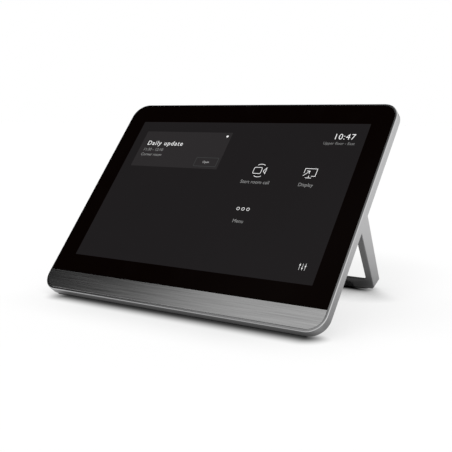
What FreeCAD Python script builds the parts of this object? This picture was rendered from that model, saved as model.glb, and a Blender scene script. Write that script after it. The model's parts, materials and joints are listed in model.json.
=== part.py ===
"""A tabletop touch console that leans back on a fold-out stand, as a parametric document in millimetres.

The slab is modelled flat, with x across, y up the screen from its lower edge and z towards the viewer from
the glass, and is then tilted. The stand is modelled hanging from its hinge axis and is then opened. The
origin is the middle of the front foot's resting face, with X to the right, Y to the back and Z up.
"""
import FreeCAD
import Part
import Sketcher
import math
import os
import re

SIZES = {
    # The slab and its front
    "body_width": 201.2,
    "body_height": 148.9,
    "corner_radius": 10.7,
    "edge_chamfer": 0.5,
    "back_chamfer": 1.4,
    "edge_break": 0.2,
    "rim": 1.3,
    "ledge": 3.0,
    "frame_wall": 2.2,
    "inlay_gap": 0.15,
    "tilt": 50.5,
    "chin_height": 12.5,
    "side_border": 13.2,
    "low_border": 12.1,
    "top_border": 14.1,
    "module_margin": 4.5,
    # The layers behind the glass, front to back
    "glass_thickness": 1.1,
    "tape_thickness": 0.35,
    "lcd_thickness": 1.0,
    "backlight_thickness": 1.5,
    "cushion_thickness": 0.35,
    "cushion_width": 5.0,
    "plate_thickness": 0.8,
    "panel_thickness": 1.7,
    # The electronics housing on the back
    "housing_wall": 1.8,
    "housing_gap": 0.4,
    "housing_slope": 18.0,
    "housing_round": 6.0,
    "housing_edge": 1.2,
    "port_gap": 0.2,
    # The circuit board and what stands on it
    "pillar_height": 2.4,
    "pillar_diameter": 5.0,
    "board_width": 100.0,
    "board_height": 58.0,
    "board_thickness": 1.2,
    "board_edge_gap": 1.4,
    "board_to_hinge": 16.8,
    "board_hole_inset": 4.0,
    "screw_diameter": 2.4,
    "screw_clearance": 0.1,
    "screw_head": 4.4,
    "screw_head_height": 1.4,
    "screw_band": 0.8,
    "screw_crown": 2.6,
    "screw_socket": 1.5,
    "screw_socket_depth": 0.8,
    "chip_side": 15.0,
    "chip_height": 1.2,
    "chip_x": 12.0,
    "chip_drop": 19.2,
    "memory_width": 9.0,
    "memory_height": 13.0,
    "memory_gap": 3.0,
    "pad_thickness": 0.6,
    "shield_wall": 0.3,
    "shield_margin": 2.0,
    "choke_side": 7.0,
    "choke_height": 4.0,
    "choke_pitch": 10.0,
    "choke_inset": 10.0,
    "choke_drop": 13.2,
    "can_diameter": 6.3,
    "can_height": 5.4,
    "can_pitch": 8.5,
    "can_inset": 16.0,
    "can_drop": 5.2,
    "transformer_width": 13.0,
    "transformer_length": 16.0,
    "transformer_height": 6.0,
    "transformer_gap": 3.0,
    "connector_width": 3.0,
    "connector_height": 1.0,
    "cable_rise": 12.8,
    "cable_thickness": 0.2,
    "display_cable_width": 30.0,
    "touch_cable_width": 12.0,
    "touch_cable_x": 36.0,
    "cable_slot_gap": 0.8,
    # The sockets and the button on the housing's lower wall
    "jack_x": -22.0,
    "jack_width": 16.0,
    "jack_height": 10.9,
    "jack_length": 15.0,
    "jack_wall": 1.5,
    "socket_width": 11.8,
    "socket_height": 6.6,
    "socket_depth": 12.5,
    "latch_width": 6.4,
    "latch_height": 1.8,
    "contact_pitch": 1.02,
    "contact_width": 0.45,
    "contact_rise": 1.3,
    "usb_x": 4.0,
    "usb_width": 9.0,
    "usb_height": 3.2,
    "usb_length": 7.4,
    "usb_wall": 0.3,
    "usb_round": 1.5,
    "usb_tongue": 0.7,
    "button_x": 24.0,
    "button_diameter": 3.4,
    "button_flange": 5.4,
    "button_flange_thickness": 0.8,
    "button_proud": 0.2,
    "button_gap": 0.3,
    "button_travel": 0.6,
    "button_rise": 3.2,
    "plunger_diameter": 1.4,
    "switch_side": 6.4,
    "switch_length": 4.0,
    "lock_x": 42.0,
    "lock_width": 7.0,
    "lock_height": 3.0,
    "lock_margin": 3.0,
    "lock_thickness": 1.0,
    # The loudspeaker behind its grille, and the vents beside it
    "grille_width": 46.0,
    "grille_height": 14.0,
    "grille_thickness": 1.5,
    "grille_gap": 0.1,
    "grille_hole": 1.4,
    "grille_pitch": 3.0,
    "grille_drop": 28.0,
    "grille_corner": 3.0,
    "gasket_width": 1.5,
    "gasket_thickness": 0.8,
    "speaker_depth": 3.2,
    "speaker_rim": 2.2,
    "cone_depth": 1.2,
    "magnet_width": 18.0,
    "magnet_depth": 1.6,
    "vent_gap": 8.0,
    "vent_pitch": 4.5,
    "vent_width": 1.8,
    "vent_length": 12.0,
    "vent_round": 0.6,
    # The screws that hold the housing on, and the pads that it lies on when the stand is folded
    "post_margin": 5.6,
    "post_wall_gap": 7.85,
    "post_inset": 8.2,
    "post_diameter": 7.0,
    "post_height": 4.0,
    "post_seat": 3.0,
    "post_drop": 16.0,
    "post_counterbore": 5.4,
    "rest_pad_diameter": 9.0,
    "rest_pad_recess": 0.5,
    "rest_pad_proud": 0.7,
    "rest_pad_gap": 0.1,
    "rest_pad_inset": 20.0,
    "rest_pad_low": 13.0,
    "rest_pad_pitch": 22.0,
    # The hinge
    "hinge_drop": 28.3,
    "hinge_offset": 6.4,
    "pin_diameter": 4.0,
    "pin_running_gap": 0.05,
    "pin_fit": 0.02,
    "pin_wall_gap": 0.35,
    "pin_head": 7.0,
    "pin_head_height": 1.2,
    "pin_socket": 2.5,
    "pin_socket_depth": 2.0,
    "bracket_gap": 5.6,
    "bracket_thickness": 2.0,
    "bracket_reach": 5.0,
    "bracket_bevel": 3.0,
    "bracket_foot_drop": 8.0,
    "bracket_foot_rise": 2.5,
    "bracket_screw_drop": 2.5,
    "bracket_flange": 15.0,
    "bracket_flange_thickness": 1.5,
    "bracket_screw_pitch": 7.0,
    "spring_thickness": 0.5,
    "spring_rise": 0.3,
    "spring_diameter": 8.0,
    "nut_width": 7.0,
    "nut_height": 3.0,
    "pin_overrun": 0.8,
    # The stand and the feet
    "leg_width": 4.65,
    "stand_gap": 0.6,
    "stand_thickness": 10.8,
    "stand_angle": 62.9,
    "stand_belly": 2.8,
    "belly_drop": 26.0,
    "stand_toe": 8.7,
    "bar_height": 7.1,
    "bar_lip": 1.2,
    "bar_clear": 1.0,
    "stand_chamfer": 1.4,
    "stand_round": 1.0,
    "stand_edge": 0.35,
    "stand_foot_inset": 5.5,
    "stand_foot_margin": 0.5,
    "stand_foot_thickness": 0.66,
    "stand_foot_round": 2.0,
    "bumper_inset": 14.6,
    "bumper_height": 3.5,
    "bumper_rise": 0.2,
    "bumper_thickness": 0.6,
    "bumper_round": 3.0,
    "foot_inset": 11.0,
    "foot_gap": 0.6,
    "foot_flat": 4.4,
    "foot_set_back": 0.2,
    "foot_rise": 6.0,
}

BOARD_CHOKES = 3
BOARD_CANS = 3
CONTACTS = 8
GRILLE_COLUMNS = 14
GRILLE_ROWS = 4
VENTS = 5
SPRINGS = 3

# How far off an edge may lie and still be the one that is meant
NEAR = 0.1
TOUCH = 1e-4

# Levels behind the glass, each from the layers in front of it
GLASS_BACK = "(-glass_thickness)"
LEDGE_FRONT = f"({GLASS_BACK} - tape_thickness)"
LCD_BACK = f"({LEDGE_FRONT} - lcd_thickness)"
LIGHT_BACK = f"({LCD_BACK} - backlight_thickness)"
PLATE_FRONT = f"({LIGHT_BACK} - cushion_thickness)"
PLATE_BACK = f"({PLATE_FRONT} - plate_thickness)"
SLAB_BACK = f"({PLATE_BACK} - panel_thickness)"
WALL_BACK = f"({SLAB_BACK} + back_chamfer)"
BOARD_FRONT = f"({PLATE_BACK} - pillar_height)"
BOARD_BACK = f"({BOARD_FRONT} - board_thickness)"
CAVITY_BACK = f"({BOARD_BACK} - jack_height - housing_gap)"
HOUSING_BACK = f"({CAVITY_BACK} - housing_wall)"
POST_FRONT = f"({PLATE_BACK} - post_height)"
POST_SEAT = f"({POST_FRONT} - post_seat)"

# Edges up and across the slab
INLAY_HALF = "(body_width / 2 - rim - inlay_gap)"
INLAY_LOW = "(rim + inlay_gap)"
INLAY_HIGH = "(body_height - rim - inlay_gap)"
CHIN_TOP = "(rim + chin_height)"
INLAY_RADIUS = "(corner_radius - rim - inlay_gap)"
OPENING_HALF = "(body_width / 2 - rim - ledge)"
OPENING_LOW = f"({CHIN_TOP} + ledge)"
OPENING_HIGH = "(body_height - rim - ledge)"
OPENING_RADIUS = "(corner_radius - rim - ledge)"
PANEL_HALF = "(body_width / 2 - frame_wall - inlay_gap)"
PANEL_LOW = "(frame_wall + inlay_gap)"
PANEL_HIGH = "(body_height - frame_wall - inlay_gap)"
PANEL_RADIUS = "(corner_radius - frame_wall - inlay_gap)"
SCREEN_LOW = f"({CHIN_TOP} + low_border)"
MODULE_HALF = "(body_width / 2 - rim - side_border + module_margin)"
MODULE_LOW = f"({SCREEN_LOW} - module_margin)"
MODULE_HIGH = "(body_height - rim - top_border + module_margin)"
HINGE_Y = "(body_height - hinge_drop)"
HINGE_Z = f"({SLAB_BACK} - hinge_offset)"
BOARD_HIGH = f"({HINGE_Y} - board_to_hinge)"
BOARD_LOW = f"({BOARD_HIGH} - board_height)"
CABLE_Y = f"({BOARD_LOW} + cable_rise)"
CAVITY_LOW = f"({BOARD_LOW} - board_edge_gap)"
HOUSING_LOW = f"({CAVITY_LOW} - housing_wall)"
HOUSING_TOP = f"({HINGE_Y} + hinge_offset)"
CAVITY_HIGH = f"({HOUSING_TOP} - housing_wall)"
GRILLE_Y = f"({HINGE_Y} - grille_drop)"
SOCKET_MOUTH = f"({HOUSING_LOW} + port_gap)"
BUTTON_Z = f"({BOARD_BACK} - button_rise)"
POST_X = "(board_width / 2 + post_margin)"
POST_LOW = f"({HOUSING_LOW} + post_inset)"
POST_HIGH = f"({HINGE_Y} - post_drop)"
CAVITY_HALF = f"({POST_X} + post_wall_gap)"
HOUSING_HALF = f"({CAVITY_HALF} + housing_wall)"
BRACKET_X = f"({CAVITY_HALF} - bracket_gap - bracket_thickness)"
STAND_HALF = f"({HOUSING_HALF} + stand_gap + leg_width)"

# Where the back of the slab's lower wall and the hinge axis stand over the table
WALL_Y = "(0 - foot_flat / 2 - foot_set_back)"
HINGE_DEPTH = "(hinge_offset + back_chamfer)"
HINGE_UP = f"(foot_gap + {HINGE_Y} * sin(tilt) - {HINGE_DEPTH} * cos(tilt))"
HINGE_BEHIND = f"({WALL_Y} + {HINGE_Y} * cos(tilt) + {HINGE_DEPTH} * sin(tilt))"

# The stand below its axis, square to its front face
STAND_FRONT = "(stand_thickness / 2)"
STAND_REAR = f"(0 - {STAND_FRONT} - stand_belly)"
STAND_TOE = f"({STAND_FRONT} - stand_toe)"
STAND_REACH = f"({HINGE_UP} - stand_foot_thickness)"
STAND_LOW = f"(({STAND_FRONT} * cos(stand_angle) - {STAND_REACH}) / sin(stand_angle))"
BAR_TOP = f"({STAND_LOW} + bar_height)"

doc = FreeCAD.newDocument("touch_console")
sheet = doc.addObject("Spreadsheet::Sheet", "Sizes")
for row, (size_name, size_value) in enumerate(SIZES.items(), 1):
    sheet.set(f"A{row}", size_name)
    sheet.set(f"B{row}", str(size_value))
    sheet.setAlias(f"B{row}", size_name)
doc.recompute()
bodies = []


def bound(text):
    """The expression with every size's name pointed at its cell."""
    return re.sub(r"[a-z]\w*", lambda word: f"Sizes.{word[0]}" if word[0] in SIZES else word[0], text)


def new_body(label, turn, y, z):
    """An empty body, turned about X by an angle and moved to (0, y, z)."""
    body = doc.addObject("PartDesign::Body", label)
    body.Label = label
    body.AllowCompound = True
    body.Placement = FreeCAD.Placement(FreeCAD.Vector(), FreeCAD.Rotation(FreeCAD.Vector(1, 0, 0), 30))
    body.setExpression("Placement.Rotation.Angle", bound(turn))
    body.setExpression("Placement.Base.y", bound(y))
    body.setExpression("Placement.Base.z", bound(z))
    bodies.append(body)
    return body


def slab_body(label):
    """A body in the slab's own frame, leaning back on the table."""
    y = f"{WALL_Y} + {WALL_BACK} * sin(tilt)"
    z = f"foot_gap - {WALL_BACK} * cos(tilt)"
    return new_body(label, "tilt", y, z)


def stand_body(label):
    """A body in the stand's own frame: its origin is on the hinge axis, and the leg runs down along -y."""
    return new_body(label, "180 - stand_angle", HINGE_BEHIND, HINGE_UP)


def sketch_on(body, plane, level, across="0", up="0"):
    """A sketch parallel to one of the body's planes, at a level along x, y or z, with its origin shifted."""
    sketch = body.newObject("Sketcher::SketchObject", f"{body.Name}_sketch")
    support = next(part for part in body.Origin.OriginFeatures if part.Role == plane)
    sketch.AttachmentSupport = (support, [""])
    sketch.MapMode = "FlatFace"
    facing = -1 if plane == "XZ_Plane" else 1
    sketch.setExpression("AttachmentOffset.Base.x", bound(across))
    sketch.setExpression("AttachmentOffset.Base.y", bound(up))
    sketch.setExpression("AttachmentOffset.Base.z", bound(f"{facing} * ({level})"))
    return sketch


def pin(sketch, geometry, point, place, start):
    """Ties a point of the sketch to its origin by two expressions."""
    for kind, text, first in zip(("DistanceX", "DistanceY"), place, start):
        number = sketch.addConstraint(Sketcher.Constraint(kind, -1, 1, geometry, point, first))
        sketch.setExpression(f"Constraints[{number}]", bound(text))


def outline(sketch, corners):
    """A closed outline of straight sides between corners, each given as two expressions."""
    first = sketch.GeometryCount
    count = len(corners)
    ring = [FreeCAD.Vector(9 + math.cos(2 * math.pi * k / count), 9 + math.sin(2 * math.pi * k / count), 0)
            for k in range(count)]
    for k in range(count):
        sketch.addGeometry(Part.LineSegment(ring[k], ring[(k + 1) % count]), False)
    for k in range(count):
        follower = first + (k + 1) % count
        sketch.addConstraint(Sketcher.Constraint("Coincident", first + k, 2, follower, 1))
    for k in range(count):
        pin(sketch, first + k, 1, corners[k], (ring[k].x, ring[k].y))
    return sketch


def box_outline(sketch, left, right, low, high):
    """A rectangle between two expressions across and two up."""
    return outline(sketch, [(left, low), (right, low), (right, high), (left, high)])


def round_outline(sketch, left, right, low, high, radius):
    """A rectangle with rounded corners: four sides joined by four arcs about their pinned centres."""
    across = (left, f"({left}) + {radius}", f"({right}) - {radius}", right)
    up = (low, f"({low}) + {radius}", f"({high}) - {radius}", high)
    rough = (6, 7, 11, 12)
    sides = [((1, 0), (2, 0)), ((3, 1), (3, 2)), ((2, 3), (1, 3)), ((0, 2), (0, 1))]
    centres = [(2, 1), (2, 2), (1, 2), (1, 1)]
    for ends in sides:
        line = [FreeCAD.Vector(rough[x], rough[y], 0) for x, y in ends]
        number = sketch.addGeometry(Part.LineSegment(*line), False)
        for point, (x, y) in enumerate(ends, 1):
            pin(sketch, number, point, (across[x], up[y]), (rough[x], rough[y]))
    for corner, (x, y) in enumerate(centres):
        circle = Part.Circle(FreeCAD.Vector(rough[x], rough[y], 0), FreeCAD.Vector(0, 0, 1), 1)
        quarter = math.pi / 2
        arc = Part.ArcOfCircle(circle, (corner - 1) * quarter, corner * quarter)
        number = sketch.addGeometry(arc, False)
        sketch.addConstraint(Sketcher.Constraint("Coincident", corner, 2, number, 1))
        sketch.addConstraint(Sketcher.Constraint("Coincident", number, 2, (corner + 1) % 4, 1))
        centre = sketch.addConstraint(Sketcher.Constraint("DistanceX", -1, 1, number, 3, rough[x]))
        sketch.setExpression(f"Constraints[{centre}]", bound(across[x]))
    return sketch


def ring_outline(sketch, across, up, diameter):
    """A circle about a point."""
    number = sketch.addGeometry(Part.Circle(FreeCAD.Vector(5, 5, 0), FreeCAD.Vector(0, 0, 1), 1), False)
    pin(sketch, number, 3, (across, up), (5, 5))
    size = sketch.addConstraint(Sketcher.Constraint("Diameter", number, 2))
    sketch.setExpression(f"Constraints[{size}]", bound(diameter))
    return sketch


def hex_outline(sketch, across, up, width):
    """A hexagon about a point, from its width across the flats."""
    corner = f"({width}) / sqrt(3)"
    return outline(sketch, [(f"{across} + {corner} * cos({60 * k})", f"{up} + {corner} * sin({60 * k})")
                            for k in range(6)])


def pad(sketch, length):
    """Material from the sketch along its normal: +x, -y or +z."""
    body = sketch.getParentGeoFeatureGroup()
    feature = body.newObject("PartDesign::Pad", f"{body.Name}_pad")
    feature.Profile = sketch
    feature.setExpression("Length", bound(length))
    return feature


def pocket(sketch, length):
    """A cut from the sketch against its normal: -x, +y or -z."""
    body = sketch.getParentGeoFeatureGroup()
    feature = body.newObject("PartDesign::Pocket", f"{body.Name}_pocket")
    feature.Profile = sketch
    feature.setExpression("Length", bound(length))
    return feature


def turned(sketch, axis):
    """A turned piece: the sketch carried once round its own H_Axis or V_Axis."""
    body = sketch.getParentGeoFeatureGroup()
    feature = body.newObject("PartDesign::Revolution", f"{body.Name}_turned")
    feature.Profile = sketch
    feature.ReferenceAxis = (sketch, [axis])
    feature.Angle = 360
    return feature


def is_straight(edge, axis):
    """Whether an edge is a straight line along the body's axis 0, 1 or 2."""
    if edge.Degenerated or edge.Curve.TypeId != "Part::GeomLine":
        return False
    return abs(abs(edge.Curve.Direction[axis]) - 1) < TOUCH


def finish_edges(body, kind, size, choose):
    """Rounds (Fillet) or breaks (Chamfer) the edges of the body so far that choose picks."""
    doc.recompute()
    base = body.Tip
    names = [f"Edge{number}" for number, edge in enumerate(base.Shape.Edges, 1) if choose(edge)]
    feature = body.newObject(f"PartDesign::{kind}", f"{body.Name}_{kind.lower()}")
    feature.Base = (base, names)
    feature.setExpression("Radius" if kind == "Fillet" else "Size", bound(size))
    doc.recompute()
    return feature


def plate(label, left, right, low, high, back, thickness):
    """A flat rectangular piece of the slab, from its back level forward."""
    body = slab_body(label)
    pad(box_outline(sketch_on(body, "XY_Plane", back), left, right, low, high), thickness)
    return body


def block(body, left, right, low, high, back, thickness):
    """One more rectangular solid in a body of the slab."""
    pad(box_outline(sketch_on(body, "XY_Plane", back), left, right, low, high), thickness)


def front_edges(body):
    """A test for the edges of a body's frontmost flat face."""
    doc.recompute()
    top = body.Tip.Shape.BoundBox.ZMax
    return lambda edge: edge.BoundBox.ZMin > top - TOUCH


def back_edges(body):
    """A test for the edges of a body's rearmost flat face."""
    doc.recompute()
    low = body.Tip.Shape.BoundBox.ZMin
    return lambda edge: edge.BoundBox.ZMax < low + TOUCH


def corner_edges(body, upper):
    """A test for the corner edges of a flat piece that lie in its upper or in its lower half."""
    doc.recompute()
    middle = body.Tip.Shape.BoundBox.Center.y
    return lambda edge: is_straight(edge, 2) and (edge.BoundBox.Center.y > middle) == upper


def side_x(side, near, far):
    """The lower and upper x of a span that lies from near to far on one side of the middle."""
    return (near, far) if side > 0 else (f"(0 - {far})", f"(0 - {near})")


def make_front_frame():
    """The perimeter frame: a ledge for the front inlays, a lip round them and a recess for the back."""
    body = slab_body("front_frame")
    outer = sketch_on(body, "XY_Plane", SLAB_BACK)
    pad(box_outline(outer, "0 - body_width / 2", "body_width / 2", "0", "body_height"), f"0 - {SLAB_BACK}")
    finish_edges(body, "Fillet", "corner_radius", lambda edge: is_straight(edge, 2))
    finish_edges(body, "Chamfer", "edge_chamfer", front_edges(body))
    finish_edges(body, "Chamfer", "back_chamfer", back_edges(body))
    for level, depth, inset in (("0", f"0 - {LEDGE_FRONT}", "rim"),
                                (PLATE_FRONT, f"{PLATE_FRONT} - {SLAB_BACK}", "frame_wall")):
        recess = sketch_on(body, "XY_Plane", level)
        round_outline(recess, f"{inset} - body_width / 2", f"body_width / 2 - {inset}", inset,
                      f"body_height - {inset}", f"(corner_radius - {inset})")
        pocket(recess, depth)
    opening = sketch_on(body, "XY_Plane", LEDGE_FRONT)
    round_outline(opening, f"0 - {OPENING_HALF}", OPENING_HALF, OPENING_LOW, OPENING_HIGH, OPENING_RADIUS)
    pocket(opening, f"{LEDGE_FRONT} - {PLATE_FRONT}")


def make_front_inlays():
    """The cover glass and the brushed chin strip, side by side in the frame's front recess."""
    glass_low = f"{CHIN_TOP} + inlay_gap / 2"
    glass = plate("cover_glass", f"0 - {INLAY_HALF}", INLAY_HALF, glass_low, INLAY_HIGH,
                  GLASS_BACK, "glass_thickness")
    chin = plate("chin_trim", f"0 - {INLAY_HALF}", INLAY_HALF, INLAY_LOW, f"{CHIN_TOP} - inlay_gap / 2",
                 GLASS_BACK, "glass_thickness")
    finish_edges(glass, "Fillet", INLAY_RADIUS, corner_edges(glass, True))
    finish_edges(chin, "Fillet", INLAY_RADIUS, corner_edges(chin, False))
    for body in (glass, chin):
        finish_edges(body, "Chamfer", "edge_break", front_edges(body))


def make_display():
    """The layers behind the glass: tape, touch film, liquid crystal cell, backlight and foam."""
    tape = plate("glass_tape", f"0 - {INLAY_HALF}", INLAY_HALF, INLAY_LOW, INLAY_HIGH,
                 LEDGE_FRONT, "tape_thickness")
    finish_edges(tape, "Fillet", INLAY_RADIUS, lambda edge: is_straight(edge, 2))
    window = sketch_on(tape, "XY_Plane", GLASS_BACK)
    round_outline(window, f"0 - {OPENING_HALF}", OPENING_HALF, OPENING_LOW, OPENING_HIGH, OPENING_RADIUS)
    pocket(window, "tape_thickness")
    plate("touch_sensor", f"0 - {MODULE_HALF}", MODULE_HALF, MODULE_LOW, MODULE_HIGH,
          LEDGE_FRONT, "tape_thickness")
    plate("lcd_panel", f"0 - {MODULE_HALF}", MODULE_HALF, MODULE_LOW, MODULE_HIGH, LCD_BACK, "lcd_thickness")
    plate("backlight", f"0 - {MODULE_HALF}", MODULE_HALF, MODULE_LOW, MODULE_HIGH,
          LIGHT_BACK, "backlight_thickness")
    foam = slab_body("display_cushion")
    inner = f"({MODULE_HALF} - cushion_width)"
    pad(outline(sketch_on(foam, "XY_Plane", PLATE_FRONT), [
        (f"0 - {MODULE_HALF}", MODULE_LOW), (f"0 - {inner}", MODULE_LOW),
        (f"0 - {inner}", f"{MODULE_HIGH} - cushion_width"), (inner, f"{MODULE_HIGH} - cushion_width"),
        (inner, MODULE_LOW), (MODULE_HALF, MODULE_LOW),
        (MODULE_HALF, MODULE_HIGH), (f"0 - {MODULE_HALF}", MODULE_HIGH)]), "cushion_thickness")


def pillar_places():
    """The centres of the board's and the housing's fixing points, as (x, y) expressions."""
    board_x = "(board_width / 2 - board_hole_inset)"
    board = [(f"{side} * {board_x}", y) for side in (-1, 1)
             for y in (f"{BOARD_LOW} + board_hole_inset", f"{BOARD_HIGH} - board_hole_inset")]
    housing = [(f"{side} * {POST_X}", y) for side in (-1, 1) for y in (POST_LOW, POST_HIGH)]
    return board, housing


def bracket_screw_places(side):
    """The centres of a hinge bracket's two screws."""
    middle = f"({BRACKET_X} - bracket_flange / 2)"
    return [(f"{side} * ({middle} + {step} * bracket_screw_pitch / 2)", f"{HINGE_Y} - bracket_screw_drop")
            for step in (-1, 1)]


def make_chassis():
    """The stamped chassis plate with cable slots, and the threaded pillars pressed into it."""
    board, housing = pillar_places()
    body = plate("chassis_plate", f"0 - {PANEL_HALF}", PANEL_HALF, PANEL_LOW, PANEL_HIGH,
                 PLATE_BACK, "plate_thickness")
    finish_edges(body, "Fillet", PANEL_RADIUS, lambda edge: is_straight(edge, 2))
    holes = sketch_on(body, "XY_Plane", PLATE_FRONT)
    for x, width in cable_places():
        box_outline(holes, f"{x} - {width} / 2 - cable_slot_gap", f"{x} + {width} / 2 + cable_slot_gap",
                    f"{CABLE_Y} - cable_slot_gap", f"{CABLE_Y} + cable_thickness + cable_slot_gap")
    for side in (-1, 1):
        for x, y in bracket_screw_places(side):
            ring_outline(holes, x, y, "screw_diameter + 2 * screw_clearance")
    pocket(holes, "plate_thickness")
    pillars = slab_body("chassis_pillars")
    for places, height in ((board, "pillar_height"), (housing, "post_height")):
        rods = sketch_on(pillars, "XY_Plane", f"{PLATE_BACK} - {height}")
        threads = sketch_on(pillars, "XY_Plane", PLATE_BACK)
        for x, y in places:
            ring_outline(rods, x, y, "pillar_diameter")
            ring_outline(threads, x, y, "screw_diameter + 2 * screw_clearance")
        pad(rods, height)
        pocket(threads, height)


def cable_places():
    """The middle x and the width of the two flat cables."""
    return [("0", "display_cable_width"), ("touch_cable_x", "touch_cable_width")]


def make_cables():
    """The flat cables: each runs down behind the backlight and up through the chassis plate to the board."""
    layer = f"({LIGHT_BACK} - cable_thickness)"
    plug = f"({BOARD_FRONT} + connector_height)"
    tail = [(CABLE_Y, layer), (CABLE_Y, plug), (f"{CABLE_Y} + cable_thickness", plug),
            (f"{CABLE_Y} + cable_thickness", LIGHT_BACK)]
    display = slab_body("display_cable")
    start = f"{MODULE_LOW} + module_margin"
    pad(outline(sketch_on(display, "YZ_Plane", "0 - display_cable_width / 2"),
                [(start, LIGHT_BACK), (start, layer)] + tail), "display_cable_width")
    touch = slab_body("touch_cable")
    low = f"({MODULE_LOW} - cable_thickness)"
    pad(outline(sketch_on(touch, "YZ_Plane", "touch_cable_x - touch_cable_width / 2"),
                [(MODULE_LOW, LIGHT_BACK), (MODULE_LOW, GLASS_BACK), (low, GLASS_BACK), (low, layer)] + tail),
        "touch_cable_width")
    plugs = slab_body("cable_connectors")
    for x, width in cable_places():
        block(plugs, f"{x} - {width} / 2", f"{x} + {width} / 2", f"{CABLE_Y} - connector_width / 2",
              f"{CABLE_Y} + connector_width / 2", BOARD_FRONT, "connector_height")


def make_board():
    """The main board with its fixing holes, and the parts soldered to it."""
    half = "board_width / 2"
    body = plate("main_board", f"0 - {half}", half, BOARD_LOW, BOARD_HIGH, BOARD_BACK, "board_thickness")
    holes = sketch_on(body, "XY_Plane", BOARD_FRONT)
    for x, y in pillar_places()[0]:
        ring_outline(holes, x, y, "screw_diameter + 2 * screw_clearance")
    pocket(holes, "board_thickness")
    chip_left, chip_right = "chip_x - chip_side / 2", "(chip_x + chip_side / 2)"
    chip_y = f"({BOARD_HIGH} - chip_drop)"
    chip_low, chip_high = f"{chip_y} - chip_side / 2", f"{chip_y} + chip_side / 2"
    under = f"({BOARD_BACK} - chip_height)"
    plate("processor", chip_left, chip_right, chip_low, chip_high, under, "chip_height")
    lid = f"({under} - pad_thickness)"
    plate("thermal_pad", chip_left, chip_right, chip_low, chip_high, lid, "pad_thickness")
    memory = slab_body("memory_chips")
    memory_left = f"({chip_right} + memory_gap)"
    for step in (-1, 1):
        middle = f"({chip_y} + {step} * (memory_height + memory_gap) / 2)"
        block(memory, memory_left, f"{memory_left} + memory_width", f"{middle} - memory_height / 2",
              f"{middle} + memory_height / 2", under, "chip_height")
    can_left, can_right = f"({chip_left} - shield_margin)", f"({memory_left} + memory_width + shield_margin)"
    can_half = "(memory_height + memory_gap / 2 + shield_margin)"
    can = plate("shield_can", can_left, can_right, f"{chip_y} - {can_half}", f"{chip_y} + {can_half}",
                f"{lid} - shield_wall", f"{BOARD_BACK} - {lid} + shield_wall")
    hollow = sketch_on(can, "XY_Plane", BOARD_BACK)
    box_outline(hollow, f"{can_left} + shield_wall", f"{can_right} - shield_wall",
                f"{chip_y} - {can_half} + shield_wall", f"{chip_y} + {can_half} - shield_wall")
    pocket(hollow, f"{BOARD_BACK} - {lid}")
    edge = "(0 - board_width / 2)"
    choke_x = f"({edge} + choke_inset)"
    chokes = slab_body("power_inductors")
    cans = slab_body("capacitors")
    for number in range(BOARD_CHOKES):
        middle = f"({BOARD_HIGH} - choke_drop - {number} * choke_pitch)"
        block(chokes, f"{choke_x} - choke_side / 2", f"{choke_x} + choke_side / 2",
              f"{middle} - choke_side / 2", f"{middle} + choke_side / 2",
              f"{BOARD_BACK} - choke_height", "choke_height")
    row = sketch_on(cans, "XY_Plane", f"{BOARD_BACK} - can_height")
    for number in range(BOARD_CANS):
        ring_outline(row, f"{edge} + can_inset + {number} * can_pitch", f"{BOARD_HIGH} - can_drop",
                     "can_diameter")
    pad(row, "can_height")
    low = f"({SOCKET_MOUTH} + jack_length + transformer_gap)"
    plate("network_transformer", "jack_x - transformer_length / 2", "jack_x + transformer_length / 2", low,
          f"{low} + transformer_width", f"{BOARD_BACK} - transformer_height", "transformer_height")


def make_sockets():
    """The network jack with its latch slot and springy contacts, and the small oval data socket."""
    jack = plate("ethernet_jack", "jack_x - jack_width / 2", "jack_x + jack_width / 2", SOCKET_MOUTH,
                 f"{SOCKET_MOUTH} + jack_length", f"{BOARD_BACK} - jack_height", "jack_height")
    socket_top = f"({BOARD_BACK} - jack_wall)"
    socket_low = f"({socket_top} - socket_height)"
    cavity = sketch_on(jack, "XZ_Plane", SOCKET_MOUTH)
    latch_low = f"({socket_low} - latch_height)"
    outline(cavity, [
        ("jack_x - socket_width / 2", socket_top), ("jack_x - socket_width / 2", socket_low),
        ("jack_x - latch_width / 2", socket_low), ("jack_x - latch_width / 2", latch_low),
        ("jack_x + latch_width / 2", latch_low), ("jack_x + latch_width / 2", socket_low),
        ("jack_x + socket_width / 2", socket_low), ("jack_x + socket_width / 2", socket_top)])
    pocket(cavity, "socket_depth")
    contacts = slab_body("jack_contacts")
    inner = f"({SOCKET_MOUTH} + socket_depth)"
    for number in range(CONTACTS):
        left = f"jack_x + ({number} - {(CONTACTS - 1) / 2}) * contact_pitch - contact_width / 2"
        wire = sketch_on(contacts, "YZ_Plane", left)
        outline(wire, [(inner, socket_top), (f"{inner} - contact_rise", f"{socket_top} - contact_rise"),
                       (f"{inner} - socket_depth / 2", socket_top)])
        pad(wire, "contact_width")
    usb = slab_body("usb_jack")
    shell = sketch_on(usb, "XZ_Plane", f"{SOCKET_MOUTH} + usb_length")
    box_outline(shell, "usb_x - usb_width / 2", "usb_x + usb_width / 2", f"{BOARD_BACK} - usb_height",
                BOARD_BACK)
    pad(shell, "usb_length")
    finish_edges(usb, "Fillet", "usb_round", lambda edge: is_straight(edge, 1))
    bore = sketch_on(usb, "XZ_Plane", SOCKET_MOUTH)
    box_outline(bore, "usb_x - usb_width / 2 + usb_height / 2", "usb_x + usb_width / 2 - usb_height / 2",
                f"{BOARD_BACK} - usb_height + usb_wall", f"{BOARD_BACK} - usb_height / 2 - usb_tongue / 2")
    box_outline(bore, "usb_x - usb_width / 2 + usb_height / 2", "usb_x + usb_width / 2 - usb_height / 2",
                f"{BOARD_BACK} - usb_height / 2 + usb_tongue / 2", f"{BOARD_BACK} - usb_wall")
    pocket(bore, "usb_length - usb_wall")


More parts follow.
